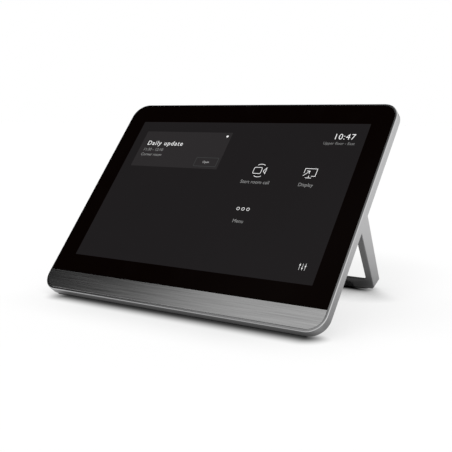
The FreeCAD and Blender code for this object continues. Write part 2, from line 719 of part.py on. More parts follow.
def make_button():
    """The reset button in the lower wall, kept in by its flange, and the switch that it presses."""
    button = slab_body("reset_button")
    head = f"{HOUSING_LOW} - button_proud"
    flange = f"({CAVITY_LOW} + button_gap)"
    flange_end = f"({flange} + button_flange_thickness)"
    switch_face = f"({flange_end} + button_travel + button_gap)"
    tip = f"({switch_face} + button_travel)"
    profile = sketch_on(button, "XY_Plane", BUTTON_Z, "button_x")
    outline(profile, [
        ("0", head), ("button_diameter / 2", head), ("button_diameter / 2", flange),
        ("button_flange / 2", flange), ("button_flange / 2", flange_end),
        ("plunger_diameter / 2", flange_end), ("plunger_diameter / 2", tip), ("0", tip)])
    turned(profile, "V_Axis")
    switch = plate("reset_switch", "button_x - switch_side / 2", "button_x + switch_side / 2", switch_face,
                   f"{switch_face} + switch_length", f"{BOARD_BACK} - switch_side", "switch_side")
    guide = ring_outline(sketch_on(switch, "XZ_Plane", switch_face), "button_x", BUTTON_Z,
                         "plunger_diameter + 2 * button_gap")
    pocket(guide, "2 * button_travel + button_gap")


def make_rear_panel():
    """The flat back of the slab, with the opening that the housing covers."""
    body = plate("rear_panel", f"0 - {PANEL_HALF}", PANEL_HALF, PANEL_LOW, PANEL_HIGH,
                 SLAB_BACK, "panel_thickness")
    finish_edges(body, "Fillet", PANEL_RADIUS, lambda edge: is_straight(edge, 2))
    opening = sketch_on(body, "XY_Plane", PLATE_BACK)
    box_outline(opening, f"0 - {CAVITY_HALF}", CAVITY_HALF, CAVITY_LOW, CAVITY_HIGH)
    pocket(opening, "panel_thickness")


def make_housing():
    """The moulded housing: a shell whose rounded top is the hinge barrel, with posts and every opening."""
    body = slab_body("rear_housing")
    barrel_back = f"({HINGE_Z} - hinge_offset)"
    slope_start = f"({HINGE_Y} - housing_slope)"
    shell = sketch_on(body, "YZ_Plane", f"0 - {HOUSING_HALF}")
    outline(shell, [
        (HOUSING_LOW, SLAB_BACK), (HOUSING_LOW, HOUSING_BACK), (slope_start, HOUSING_BACK),
        (HOUSING_TOP, barrel_back), (HOUSING_TOP, SLAB_BACK)])
    pad(shell, f"2 * {HOUSING_HALF}")
    doc.recompute()
    box = body.Tip.Shape.BoundBox
    mouth = box.ZMax - SIZES["housing_edge"]
    finish_edges(body, "Fillet", "housing_round",
                 lambda edge: is_straight(edge, 0) and edge.BoundBox.Center.y > box.YMax - NEAR
                 and edge.BoundBox.Center.z < mouth)
    finish_edges(body, "Fillet", "housing_edge",
                 lambda edge: not is_straight(edge, 0) and edge.BoundBox.ZMin < mouth
                 or is_straight(edge, 0) and edge.BoundBox.Center.y < box.YMin + NEAR
                 and edge.BoundBox.Center.z < mouth)
    hollow = sketch_on(body, "YZ_Plane", CAVITY_HALF)
    outline(hollow, [
        (CAVITY_LOW, SLAB_BACK), (CAVITY_LOW, CAVITY_BACK), (slope_start, CAVITY_BACK),
        (CAVITY_HIGH, f"{barrel_back} + housing_wall"), (CAVITY_HIGH, SLAB_BACK)])
    pocket(hollow, f"2 * {CAVITY_HALF}")
    inner_top = box.YMax - SIZES["housing_wall"]
    finish_edges(body, "Fillet", "housing_round - housing_wall",
                 lambda edge: is_straight(edge, 0) and abs(edge.BoundBox.Center.y - inner_top) < NEAR
                 and edge.BoundBox.Center.z < mouth)
    posts = sketch_on(body, "XY_Plane", f"{CAVITY_BACK} - housing_wall / 2")
    bores = sketch_on(body, "XY_Plane", POST_FRONT)
    seats = sketch_on(body, "XY_Plane", POST_SEAT)
    for x, y in pillar_places()[1]:
        ring_outline(posts, x, y, "post_diameter")
        ring_outline(bores, x, y, "screw_diameter + 2 * screw_clearance")
        ring_outline(seats, x, y, "post_counterbore")
    pad(posts, f"{POST_FRONT} - {CAVITY_BACK} + housing_wall / 2")
    pocket(bores, f"{POST_FRONT} - {HOUSING_BACK}")
    pocket(seats, f"{POST_SEAT} - {HOUSING_BACK}")
    ports = sketch_on(body, "XZ_Plane", HOUSING_LOW)
    for x, width, height in (("jack_x", "jack_width", "jack_height"), ("usb_x", "usb_width", "usb_height")):
        box_outline(ports, f"{x} - {width} / 2 - port_gap", f"{x} + {width} / 2 + port_gap",
                    f"{BOARD_BACK} - {height} - port_gap", f"{BOARD_BACK} + port_gap")
    ring_outline(ports, "button_x", BUTTON_Z, "button_diameter + 2 * button_gap")
    box_outline(ports, "lock_x - lock_width / 2", "lock_x + lock_width / 2",
                f"{BUTTON_Z} - lock_height / 2", f"{BUTTON_Z} + lock_height / 2")
    pocket(ports, "housing_wall")
    shafts = sketch_on(body, "YZ_Plane", HOUSING_HALF)
    ring_outline(shafts, HINGE_Y, HINGE_Z, "pin_diameter + 2 * pin_wall_gap")
    pocket(shafts, f"2 * {HOUSING_HALF}")
    window = sketch_on(body, "XY_Plane", CAVITY_BACK)
    round_outline(window, "0 - grille_width / 2 - grille_gap", "grille_width / 2 + grille_gap",
                  f"{GRILLE_Y} - grille_height / 2 - grille_gap",
                  f"{GRILLE_Y} + grille_height / 2 + grille_gap", "(grille_corner + grille_gap)")
    pocket(window, "housing_wall")
    for side in (-1, 1):
        for number in range(VENTS):
            middle = f"{side} * (grille_width / 2 + vent_gap + {number} * vent_pitch)"
            vent = sketch_on(body, "XY_Plane", CAVITY_BACK, middle, GRILLE_Y)
            round_outline(vent, "0 - vent_width / 2", "vent_width / 2", "0 - vent_length / 2",
                          "vent_length / 2", "vent_round")
            pocket(vent, "housing_wall")
    rests = sketch_on(body, "XY_Plane", f"{HOUSING_BACK} + rest_pad_recess")
    for x, y in rest_pad_places():
        ring_outline(rests, x, y, "rest_pad_diameter + 2 * rest_pad_gap")
    pocket(rests, "rest_pad_recess")


def rest_pad_places():
    """The centres of the four rubber pads on the housing's back."""
    low = f"{HOUSING_LOW} + rest_pad_low"
    return [(f"{side} * ({HOUSING_HALF} - rest_pad_inset)", f"{low} + {row} * rest_pad_pitch")
            for side in (-1, 1) for row in (0, 1)]


def make_rest_pads():
    """The rubber pads that the console lies on when its stand is folded."""
    body = slab_body("rest_pads")
    discs = sketch_on(body, "XY_Plane", f"{HOUSING_BACK} - rest_pad_proud")
    for x, y in rest_pad_places():
        ring_outline(discs, x, y, "rest_pad_diameter")
    pad(discs, "rest_pad_recess + rest_pad_proud")


def make_lock_plate():
    """The steel plate behind the anti-theft slot, with the same slot in it."""
    body = slab_body("lock_plate")
    face = sketch_on(body, "XZ_Plane", f"{CAVITY_LOW} + lock_thickness")
    box_outline(face, "lock_x - lock_width / 2 - lock_margin", "lock_x + lock_width / 2 + lock_margin",
                f"{BUTTON_Z} - lock_height / 2 - lock_margin", BOARD_BACK)
    box_outline(face, "lock_x - lock_width / 2", "lock_x + lock_width / 2", f"{BUTTON_Z} - lock_height / 2",
                f"{BUTTON_Z} + lock_height / 2")
    pad(face, "lock_thickness")


def make_speaker():
    """The perforated grille, and the flat loudspeaker held to it by a gasket."""
    half, tall = "grille_width / 2", "grille_height / 2"
    grille = plate("speaker_grille", f"0 - {half}", half, f"{GRILLE_Y} - {tall}", f"{GRILLE_Y} + {tall}",
                   f"{CAVITY_BACK} - grille_thickness", "grille_thickness")
    finish_edges(grille, "Fillet", "grille_corner", lambda edge: is_straight(edge, 2))
    holes = sketch_on(grille, "XY_Plane", CAVITY_BACK)
    for column in range(GRILLE_COLUMNS):
        for row in range(GRILLE_ROWS):
            ring_outline(holes, f"({column} - {(GRILLE_COLUMNS - 1) / 2}) * grille_pitch",
                         f"{GRILLE_Y} + ({row} - {(GRILLE_ROWS - 1) / 2}) * grille_pitch", "grille_hole")
    pocket(holes, "grille_thickness")
    gasket = slab_body("speaker_gasket")
    seal = sketch_on(gasket, "XY_Plane", CAVITY_BACK)
    outer_half, outer_tall = f"({half} + gasket_width)", f"({tall} + gasket_width)"
    box_outline(seal, f"0 - {outer_half}", outer_half, f"{GRILLE_Y} - {outer_tall}",
                f"{GRILLE_Y} + {outer_tall}")
    box_outline(seal, f"gasket_width - {half}", f"{half} - gasket_width",
                f"{GRILLE_Y} - {tall} + gasket_width", f"{GRILLE_Y} + {tall} - gasket_width")
    pad(seal, "gasket_thickness")
    rear = f"({CAVITY_BACK} + gasket_thickness)"
    speaker = plate("speaker", f"0 - {outer_half}", outer_half, f"{GRILLE_Y} - {outer_tall}",
                    f"{GRILLE_Y} + {outer_tall}", rear, "speaker_depth")
    cone = sketch_on(speaker, "XY_Plane", f"{rear} + cone_depth")
    box_outline(cone, f"speaker_rim - {half}", f"{half} - speaker_rim", f"{GRILLE_Y} - {tall} + speaker_rim",
                f"{GRILLE_Y} + {tall} - speaker_rim")
    pocket(cone, "cone_depth")
    magnet = sketch_on(speaker, "XY_Plane", f"{rear} + speaker_depth")
    box_outline(magnet, "0 - magnet_width / 2", "magnet_width / 2", f"{GRILLE_Y} - {tall}",
                f"{GRILLE_Y} + {tall}")
    pad(magnet, "magnet_depth")


def add_screw(body, x, y, seat, length):
    """A socket-head screw whose head sits behind the seat and whose shank runs forward from it."""
    profile = sketch_on(body, "YZ_Plane", x, y)
    top = f"{seat} - screw_head_height"
    outline(profile, [
        ("0", f"{seat} + {length}"), ("0", top), ("screw_crown / 2", top),
        ("screw_head / 2", f"{seat} - screw_band"), ("screw_head / 2", seat), ("screw_diameter / 2", seat),
        ("screw_diameter / 2", f"{seat} + {length}")])
    turned(profile, "V_Axis")
    socket = sketch_on(body, "XY_Plane", f"{top} + screw_socket_depth")
    pocket(hex_outline(socket, x, y, "screw_socket"), "screw_socket_depth")


def make_screws():
    """The screws of the board, of the housing and of the hinge brackets."""
    board, housing = pillar_places()
    board_screws = slab_body("board_screws")
    for x, y in board:
        add_screw(board_screws, x, y, BOARD_BACK, "(board_thickness + pillar_height)")
    housing_screws = slab_body("housing_screws")
    for x, y in housing:
        add_screw(housing_screws, x, y, POST_SEAT, "(post_seat + post_height)")
    hinge_screws = slab_body("hinge_screws")
    for side in (-1, 1):
        for x, y in bracket_screw_places(side):
            seat = f"({PLATE_BACK} - bracket_flange_thickness)"
            add_screw(hinge_screws, x, y, seat, "(bracket_flange_thickness + plate_thickness)")


def make_bracket(side, name):
    """A steel hinge bracket: a cheek bored for the pin and a foot screwed to the chassis plate."""
    body = slab_body(f"hinge_bracket_{name}")
    left, right = side_x(side, BRACKET_X, f"({BRACKET_X} + bracket_thickness)")
    low, high = f"({HINGE_Y} - bracket_reach)", f"({CAVITY_HIGH} - housing_gap)"
    cheek = sketch_on(body, "YZ_Plane", left)
    nose = f"({HINGE_Z} - bracket_reach + 2 * housing_gap)"
    outline(cheek, [
        (low, PLATE_BACK), (low, HINGE_Z), (f"{low} + bracket_bevel", nose),
        (f"{high} - bracket_bevel", nose), (high, HINGE_Z), (high, PLATE_BACK)])
    pad(cheek, "bracket_thickness")
    foot_left, foot_right = side_x(side, f"({BRACKET_X} - bracket_flange)", BRACKET_X)
    block(body, foot_left, foot_right, f"{HINGE_Y} - bracket_foot_drop", f"{HINGE_Y} + bracket_foot_rise",
          f"{PLATE_BACK} - bracket_flange_thickness", "bracket_flange_thickness")
    bore = sketch_on(body, "YZ_Plane", right)
    ring_outline(bore, HINGE_Y, HINGE_Z, "pin_diameter + 2 * pin_running_gap")
    pocket(bore, "bracket_thickness")
    holes = sketch_on(body, "XY_Plane", PLATE_BACK)
    for x, y in bracket_screw_places(side):
        ring_outline(holes, x, y, "screw_diameter + 2 * screw_clearance")
    pocket(holes, "bracket_flange_thickness")


def make_hinge(side, name):
    """What turns with the stand in one hinge: the headed pin, its spring washers and its nut."""
    spring_pitch = "(spring_thickness + spring_rise)"
    stack = f"({SPRINGS} * {spring_pitch})"
    nut_far = f"({BRACKET_X} - {stack})"
    nut_near = f"({nut_far} - nut_height)"
    pin_end = f"{side} * ({nut_near} - pin_overrun)"
    shoulder = f"{side} * ({STAND_HALF} - pin_head_height)"
    face = f"{side} * {STAND_HALF}"
    rod = stand_body(f"hinge_pin_{name}")
    turned(outline(sketch_on(rod, "XY_Plane", "0"), [
        (pin_end, "0"), (pin_end, "pin_diameter / 2"), (shoulder, "pin_diameter / 2"),
        (shoulder, "pin_head / 2"), (face, "pin_head / 2"), (face, "0")]), "H_Axis")
    mouth = side_x(side, f"({STAND_HALF} - pin_socket_depth)", STAND_HALF)[1]
    pocket(hex_outline(sketch_on(rod, "YZ_Plane", mouth), "0", "0", "pin_socket"), "pin_socket_depth")
    springs = stand_body(f"hinge_springs_{name}")
    inner = "pin_diameter / 2 + pin_fit"
    for number in range(SPRINGS):
        start = f"({nut_far} + {number} * {spring_pitch})"
        low, high = (start, f"({start} + spring_rise)") if number % 2 else (f"({start} + spring_rise)", start)
        turned(outline(sketch_on(springs, "XY_Plane", "0"), [
            (f"{side} * {low}", inner), (f"{side} * {high}", "spring_diameter / 2"),
            (f"{side} * ({high} + spring_thickness)", "spring_diameter / 2"),
            (f"{side} * ({low} + spring_thickness)", inner)]), "H_Axis")
    nut = stand_body(f"hinge_nut_{name}")
    near, far = side_x(side, nut_near, nut_far)
    flats = sketch_on(nut, "YZ_Plane", near)
    hex_outline(flats, "0", "0", "nut_width")
    ring_outline(flats, "0", "0", f"2 * ({inner})")
    pad(flats, "nut_height")


def make_stand():
    """The U-shaped stand: two legs with round tops that taper to a bar with a narrow upper edge."""
    body = stand_body("stand_frame")
    inner = f"({STAND_HALF} - leg_width)"
    corner = f"({STAND_HALF} - stand_chamfer)"
    shape = sketch_on(body, "XY_Plane", STAND_REAR)
    outline(shape, [
        (f"0 - {STAND_HALF}", "0"), (f"0 - {STAND_HALF}", f"{STAND_LOW} + stand_chamfer"),
        (f"0 - {corner}", STAND_LOW), (corner, STAND_LOW),
        (STAND_HALF, f"{STAND_LOW} + stand_chamfer"), (STAND_HALF, "0"),
        (inner, "0"), (inner, BAR_TOP), (f"0 - {inner}", BAR_TOP), (f"0 - {inner}", "0")])
    pad(shape, f"{STAND_FRONT} - {STAND_REAR}")
    doc.recompute()
    gap_half = body.Tip.Shape.BoundBox.XMax - SIZES["leg_width"]
    finish_edges(body, "Fillet", "stand_round",
                 lambda edge: is_straight(edge, 2) and abs(abs(edge.BoundBox.Center.x) - gap_half) < NEAR
                 and edge.BoundBox.Center.y < -NEAR)
    front = SIZES["stand_thickness"] / 2
    finish_edges(body, "Chamfer", "stand_edge",
                 lambda edge: is_straight(edge, 1) and abs(edge.BoundBox.Center.z - front) < TOUCH)
    belly = ("0 - belly_drop", STAND_REAR)
    for low, toe in ((STAND_LOW, STAND_TOE), ("0", f"0 - {STAND_FRONT}")):
        taper = sketch_on(body, "YZ_Plane", STAND_HALF)
        outline(taper, [belly, (low, STAND_REAR), (low, toe)])
        pocket(taper, f"2 * {STAND_HALF}")
    behind = f"{STAND_TOE} - bar_clear"
    slope = sketch_on(body, "YZ_Plane", inner)
    outline(slope, [
        (BAR_TOP, f"{STAND_FRONT} - bar_lip"), (BAR_TOP, behind), (STAND_LOW, behind)])
    pocket(slope, f"2 * {inner}")
    for left in (f"0 - {STAND_HALF}", inner):
        pad(ring_outline(sketch_on(body, "YZ_Plane", left), "0", "0", "stand_thickness"), "leg_width")
    bores = ring_outline(sketch_on(body, "YZ_Plane", STAND_HALF), "0", "0", "pin_diameter + 2 * pin_fit")
    pocket(bores, f"2 * {STAND_HALF}")
    for face in (STAND_HALF, f"pin_head_height - {STAND_HALF}"):
        seat = ring_outline(sketch_on(body, "YZ_Plane", face), "0", "0", "pin_head + 2 * pin_fit")
        pocket(seat, "pin_head_height")
    bumper = stand_body("stand_bumper")
    strip = sketch_on(bumper, "XY_Plane", STAND_FRONT)
    low = f"({STAND_LOW} + bumper_rise)"
    span = f"({STAND_HALF} - bumper_inset)"
    box_outline(strip, f"0 - {span}", span, low, f"{low} + bumper_height")
    pad(strip, "bumper_thickness")
    doc.recompute()
    middle = bumper.Tip.Shape.BoundBox.Center.y
    finish_edges(bumper, "Fillet", "bumper_round",
                 lambda edge: is_straight(edge, 2) and edge.BoundBox.Center.y > middle)


def make_feet():
    """The rubber strips: one lies under the slab's lower back corner, the other under the stand's bar."""
    foot = new_body("front_foot", "0", "0", "0")
    wedge = sketch_on(foot, "YZ_Plane", "foot_inset - body_width / 2")
    # How steeply the slab's lower back chamfer rises from the table
    lean = "(sin(tilt) - cos(tilt)) / (sin(tilt) + cos(tilt))"
    back = f"{WALL_Y} + back_chamfer * sin(tilt)", "foot_gap - back_chamfer * cos(tilt)"
    outline(wedge, [
        ("0 - foot_flat / 2", "0"), ("foot_flat / 2", "0"),
        (f"{back[0]} + foot_rise * cos(tilt)", f"{back[1]} + foot_rise * sin(tilt)"),
        (f"{back[0]} + back_chamfer * cos(tilt)", f"{back[1]} + back_chamfer * sin(tilt)"),
        ("0 - foot_flat / 2", f"foot_gap + foot_set_back * {lean}")])
    pad(wedge, "body_width - 2 * foot_inset")
    half = f"({STAND_HALF} - stand_foot_inset)"
    ends = ("stand_foot_margin", "(stand_toe - stand_foot_margin)")
    toe = f"({HINGE_BEHIND} - {STAND_LOW} * cos(stand_angle))"
    front, rear = [f"{toe} - ({STAND_FRONT} - {end}) * sin(stand_angle)" for end in ends]
    front_top, rear_top = [f"stand_foot_thickness + {end} * cos(stand_angle)" for end in ends]
    strip = new_body("stand_foot", "0", "0", "0")
    wedge = sketch_on(strip, "YZ_Plane", f"0 - {half}")
    outline(wedge, [(front, "0"), (rear, "0"), (rear, rear_top), (front, front_top)])
    pad(wedge, f"2 * {half}")
    finish_edges(strip, "Fillet", "stand_foot_round", lambda edge: is_straight(edge, 2))


def write_parts():
    """Checks every object and each sub-part's solid, then writes one file per sub-part."""
    doc.recompute()
    failed = [item.Name for item in doc.Objects if {"Invalid", "Error"} & set(item.State)]
    failed += [body.Name for body in bodies if body.Shape.isNull() or not body.Shape.isValid()]
    if failed:
        raise RuntimeError(f"these did not build: {failed}")
    os.makedirs("parts", exist_ok=True)
    for body in bodies:
        body.Shape.exportStep(f"parts/{body.Label}.step")


make_front_frame()
make_front_inlays()
make_display()
make_chassis()
make_cables()
make_board()
make_sockets()
make_button()
make_rear_panel()
make_housing()
make_rest_pads()
make_lock_plate()
make_speaker()
make_screws()
for hinge_side, hinge_name in ((-1, "left"), (1, "right")):
    make_bracket(hinge_side, hinge_name)
    make_hinge(hinge_side, hinge_name)
make_stand()
make_feet()
write_parts()
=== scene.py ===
"""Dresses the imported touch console: a finish for every piece, the lit screen, the studio and the camera."""
import json
import math

import bmesh
import bpy
import numpy as np
from bpy.props import FloatProperty, FloatVectorProperty, PointerProperty, StringProperty
from bpy.types import Operator, Panel, PropertyGroup
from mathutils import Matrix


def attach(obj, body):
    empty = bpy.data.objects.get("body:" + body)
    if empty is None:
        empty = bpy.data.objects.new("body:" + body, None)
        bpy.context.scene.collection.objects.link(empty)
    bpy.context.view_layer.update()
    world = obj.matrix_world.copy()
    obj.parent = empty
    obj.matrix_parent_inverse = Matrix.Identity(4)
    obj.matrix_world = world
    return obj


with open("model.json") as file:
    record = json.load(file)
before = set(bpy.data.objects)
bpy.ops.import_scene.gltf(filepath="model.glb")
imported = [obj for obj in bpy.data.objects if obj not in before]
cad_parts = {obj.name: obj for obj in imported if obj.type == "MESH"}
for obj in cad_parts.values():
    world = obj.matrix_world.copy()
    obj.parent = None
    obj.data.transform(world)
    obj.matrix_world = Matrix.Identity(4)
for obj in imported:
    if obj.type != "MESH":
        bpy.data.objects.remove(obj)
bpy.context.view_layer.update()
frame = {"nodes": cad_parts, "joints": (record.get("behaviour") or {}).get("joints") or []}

bl_info = {
    "name": "Touch console dressing",
    "version": (1, 0, 0),
    "blender": (4, 5, 0),
    "location": "3D View > Sidebar > Console",
    "description": "Finishes, lit screen, studio and camera of a tabletop touch console",
    "category": "Object",
}

MM = 0.001

# The slab's own axes: across it, up its front and straight out of its glass
ACROSS = np.array((1.0, 0.0, 0.0))
UP = np.array(next(joint["axis"] for joint in frame["joints"] if joint["name"] == "reset_press"))
OUT = np.cross(ACROSS, UP)
TILT = math.atan2(UP[2], UP[1])
CHANNELS = 3


def node_span(name, axis):
    """The least and the greatest reach of a CAD node along an axis through the origin."""
    vertices = frame["nodes"][name].data.vertices
    flat = np.empty(len(vertices) * CHANNELS)
    vertices.foreach_get("co", flat)
    reach = flat.reshape(-1, CHANNELS) @ axis
    return reach.min(), reach.max()


GLASS_LEFT, GLASS_RIGHT = node_span("cover_glass", ACROSS)
GLASS_LOW, GLASS_HIGH = node_span("cover_glass", UP)
GLASS_FACE = node_span("cover_glass", OUT)[1]


def length(name, description, millimetres):
    """A property that holds a length, given in millimetres."""
    return FloatProperty(name=name, description=description, default=millimetres * MM,
                         subtype="DISTANCE", unit="LENGTH", precision=5)


def colour(name, description, red, green, blue):
    """A property that holds a linear colour."""
    return FloatVectorProperty(name=name, description=description, default=(red, green, blue),
                               subtype="COLOR", size=CHANNELS, min=0.0, max=1.0)


def words(name, description, text):
    """A property that holds a short text."""
    return StringProperty(name=name, description=description, default=text)


def share(name, description, value):
    """A property that holds a part of a whole."""
    return FloatProperty(name=name, description=description, default=value, subtype="FACTOR", precision=5)


def number(name, description, value):
    """A property that holds a plain number."""
    return FloatProperty(name=name, description=description, default=value, precision=5)


class ScreenSizes(PropertyGroup):
    """The picture area behind the glass, and the layers that are lit in it."""

    side_border: length("Side border", "Black glass on each side of the picture", 13.05)
    low_border: length("Low border", "Black glass under the picture", 12.045)
    top_border: length("Top border", "Black glass over the picture", 13.93)
    layer: length("Layer", "Thickness of each lit layer", 0.04)
    corner: length("Corner", "Corner radius of the picture", 0.4)
    line: length("Line", "Width of the lines of the icons", 0.34)


class CardSizes(PropertyGroup):
    """The card with the next appointment, from the picture's lower left corner."""

    left: length("Left", "Left edge", 7.3)
    low: length("Low", "Lower edge", 70.4)
    width: length("Width", "Width of the card", 71.0)
    height: length("Height", "Height of the card", 28.9)
    corner: length("Corner", "Corner radius of the card", 0.5)
    inset: length("Inset", "Left margin of the small lines", 3.9)
    title_inset: length("Title inset", "Left margin of the title", 4.9)
    title_rise: length("Title rise", "Base line of the title over the lower edge", 17.5)
    title_size: length("Title size", "Letter size of the title", 5.0)
    times_rise: length("Times rise", "Base line of the times over the lower edge", 12.7)
    place_rise: length("Place rise", "Base line of the place over the lower edge", 8.6)
    text_size: length("Text size", "Letter size of the small lines", 3.2)
    button_width: length("Button width", "Width of the button", 17.3)
    button_height: length("Button height", "Height of the button", 6.7)
    button_margin: length("Button margin", "Gap from the button to the card's edges", 1.9)
    button_text: length("Button text", "Letter size on the button", 2.3)
    button_weight: number("Button weight", "How far their outlines move out, in letter sizes", 0.003)
    frame_line: length("Frame line", "Width of the button's outline", 0.35)
    dot: length("Dot", "Radius of the round mark in the corner", 0.82)
    dot_inset: length("Dot inset", "Gap from the round mark to the card's edges", 3.0)
    title_spacing: number("Title spacing", "Spacing of the title's letters", 1.18)
    title: words("Title", "First line", "Daily update")
    times: words("Times", "Second line", "11:30 - 12:10")
    place: words("Place", "Third line", "Corner room")
    action: words("Action", "Text on the button", "Open")


class ClockSizes(PropertyGroup):
    """The clock in the picture's upper right corner, and the line under it."""

    clock_right: length("Clock right", "Gap from the clock to the picture's right edge", 6.8)
    room_right: length("Room right", "Gap from the small line to the picture's right edge", 5.8)
    clock_drop: length("Clock drop", "Base line of the clock under the picture's top", 11.7)
    clock_size: length("Clock size", "Letter size of the clock", 5.9)
    room_drop: length("Room drop", "Base line of the small line under the picture's top", 15.6)
    room_size: length("Room size", "Letter size of the small line", 2.8)
    clock: words("Clock", "The time", "10:47")
    spacing: number("Spacing", "Spacing of the clock's digits", 1.1)
    weight: number("Weight", "How far the digits' outlines move out, in digit sizes", -0.006)
    room: words("Room", "The small line", "Upper floor - East")


class TileSizes(PropertyGroup):
    """The three tiles and the settings mark, from the picture's lower left corner."""

    first_column: length("First column", "Middle of the left column", 110.1)
    second_column: length("Second column", "Middle of the right column", 145.0)
    upper_row: length("Upper row", "Middle of the upper icons", 71.1)
    lower_row: length("Lower row", "Middle of the lower icon", 43.2)
    label_drop: length("Label drop", "Base line of a label under the middle of its icon", 9.6)
    label_size: length("Label size", "Letter size of the labels", 3.4)
    ring: length("Ring", "Radius of the three rings", 0.95)
    ring_pitch: length("Ring pitch", "Distance between the rings", 3.5)
    sliders_left: length("Sliders left", "Middle of the first slider", 160.8)
    sliders_low: length("Sliders low", "Lower end of the sliders", 8.1)
    sliders_height: length("Sliders height", "Height of the sliders", 4.1)
    sliders_pitch: length("Sliders pitch", "Distance between the sliders", 1.75)
    call: words("Call", "Label of the camera tile", "Start room call")
    share: words("Share", "Label of the screen tile", "Display")
    menu: words("Menu", "Label of the ring tile", "Menu")


class FinishColours(PropertyGroup):
    """The colours that the finishes start from."""

    metal: colour("Metal", "Anodised aluminium", 0.50, 0.50, 0.505)
    edge: colour("Edge", "Bare metal of the cut edge", 0.60, 0.60, 0.605)
    chin: colour("Chin", "Brushed aluminium", 0.41, 0.41, 0.41)
    glass: colour("Glass", "Black ink behind the glass", 0.0026, 0.0011, 0.0008)
    shell: colour("Shell", "Moulded plastic of the back", 0.030, 0.030, 0.032)
    rubber: colour("Rubber", "Feet, pads and seals", 0.017, 0.017, 0.0175)
    steel: colour("Steel", "Zinc-plated steel", 0.52, 0.52, 0.53)
    black_steel: colour("Black steel", "Blackened screws", 0.055, 0.055, 0.06)
    board: colour("Board", "Solder mask", 0.012, 0.085, 0.045)
    copper: colour("Copper", "Tracks under the solder mask", 0.03, 0.16, 0.075)
    resin: colour("Resin", "Chip packages and moulded coils", 0.018, 0.018, 0.019)
    gold: colour("Gold", "Plated contacts", 0.83, 0.60, 0.24)
    film: colour("Film", "Amber film of the flat cables", 0.36, 0.17, 0.035)
    picture: colour("Picture", "Ground of the lit picture", 0.0129, 0.0115, 0.0122)
    card: colour("Card", "Ground of the card", 0.0250, 0.0228, 0.0239)
    outline: colour("Outline", "Outline of the button", 0.048, 0.050, 0.050)
    white: colour("White", "Bright text and icons", 0.92, 0.92, 0.92)
    pale: colour("Pale", "Text on the button", 0.42, 0.42, 0.42)
    grey: colour("Grey", "Small text", 0.25, 0.25, 0.25)
    dim: colour("Dim", "Line under the clock", 0.20, 0.20, 0.20)


class StudioSizes(PropertyGroup):
    """The camera and the light."""

    camera_place: FloatVectorProperty(
        name="Camera place", description="Where the camera stands",
        default=(0.292667, -0.358828, 0.114357), subtype="TRANSLATION", unit="LENGTH", precision=5)
    camera_turn: FloatVectorProperty(
        name="Camera turn", description="How the camera is turned",
        default=(math.radians(85.105), 0.0, math.radians(34.031)),
        subtype="EULER", unit="ROTATION", precision=5)
    camera_lens: number("Camera lens", "Focal length in millimetres", 65.436)
    camera_shift: FloatVectorProperty(
        name="Camera shift", description="How far the picture is cut off its middle",
        default=(-0.04121, -0.09777), size=2, precision=5)
    lamp_share: share("Lamp share", "Share of the light that comes from the lamp", 0.45)
    lamp_spread: FloatProperty(
        name="Lamp spread", description="Angle that the soft lamp fills",
        default=math.radians(70), subtype="ANGLE", unit="ROTATION")
    front_pull: number("Front pull", "How much a direction to the front counts as one to the right", 1.4)
    dark_side: number("Dark side", "Side up to which mirrored light is dark, 1 being to the right", -0.19)
    white_side: number("White side", "Side from which mirrored light is white", 0.01)
    gap_span: FloatVectorProperty(
        name="Gap span", description="Sides where a dimmer gap in the white starts, is full, ebbs and ends",
        default=(0.0, 0.08, 0.12, 0.22), size=4, precision=5)
    gap_share: share("Gap share", "White that is lost in that gap", 0.2)


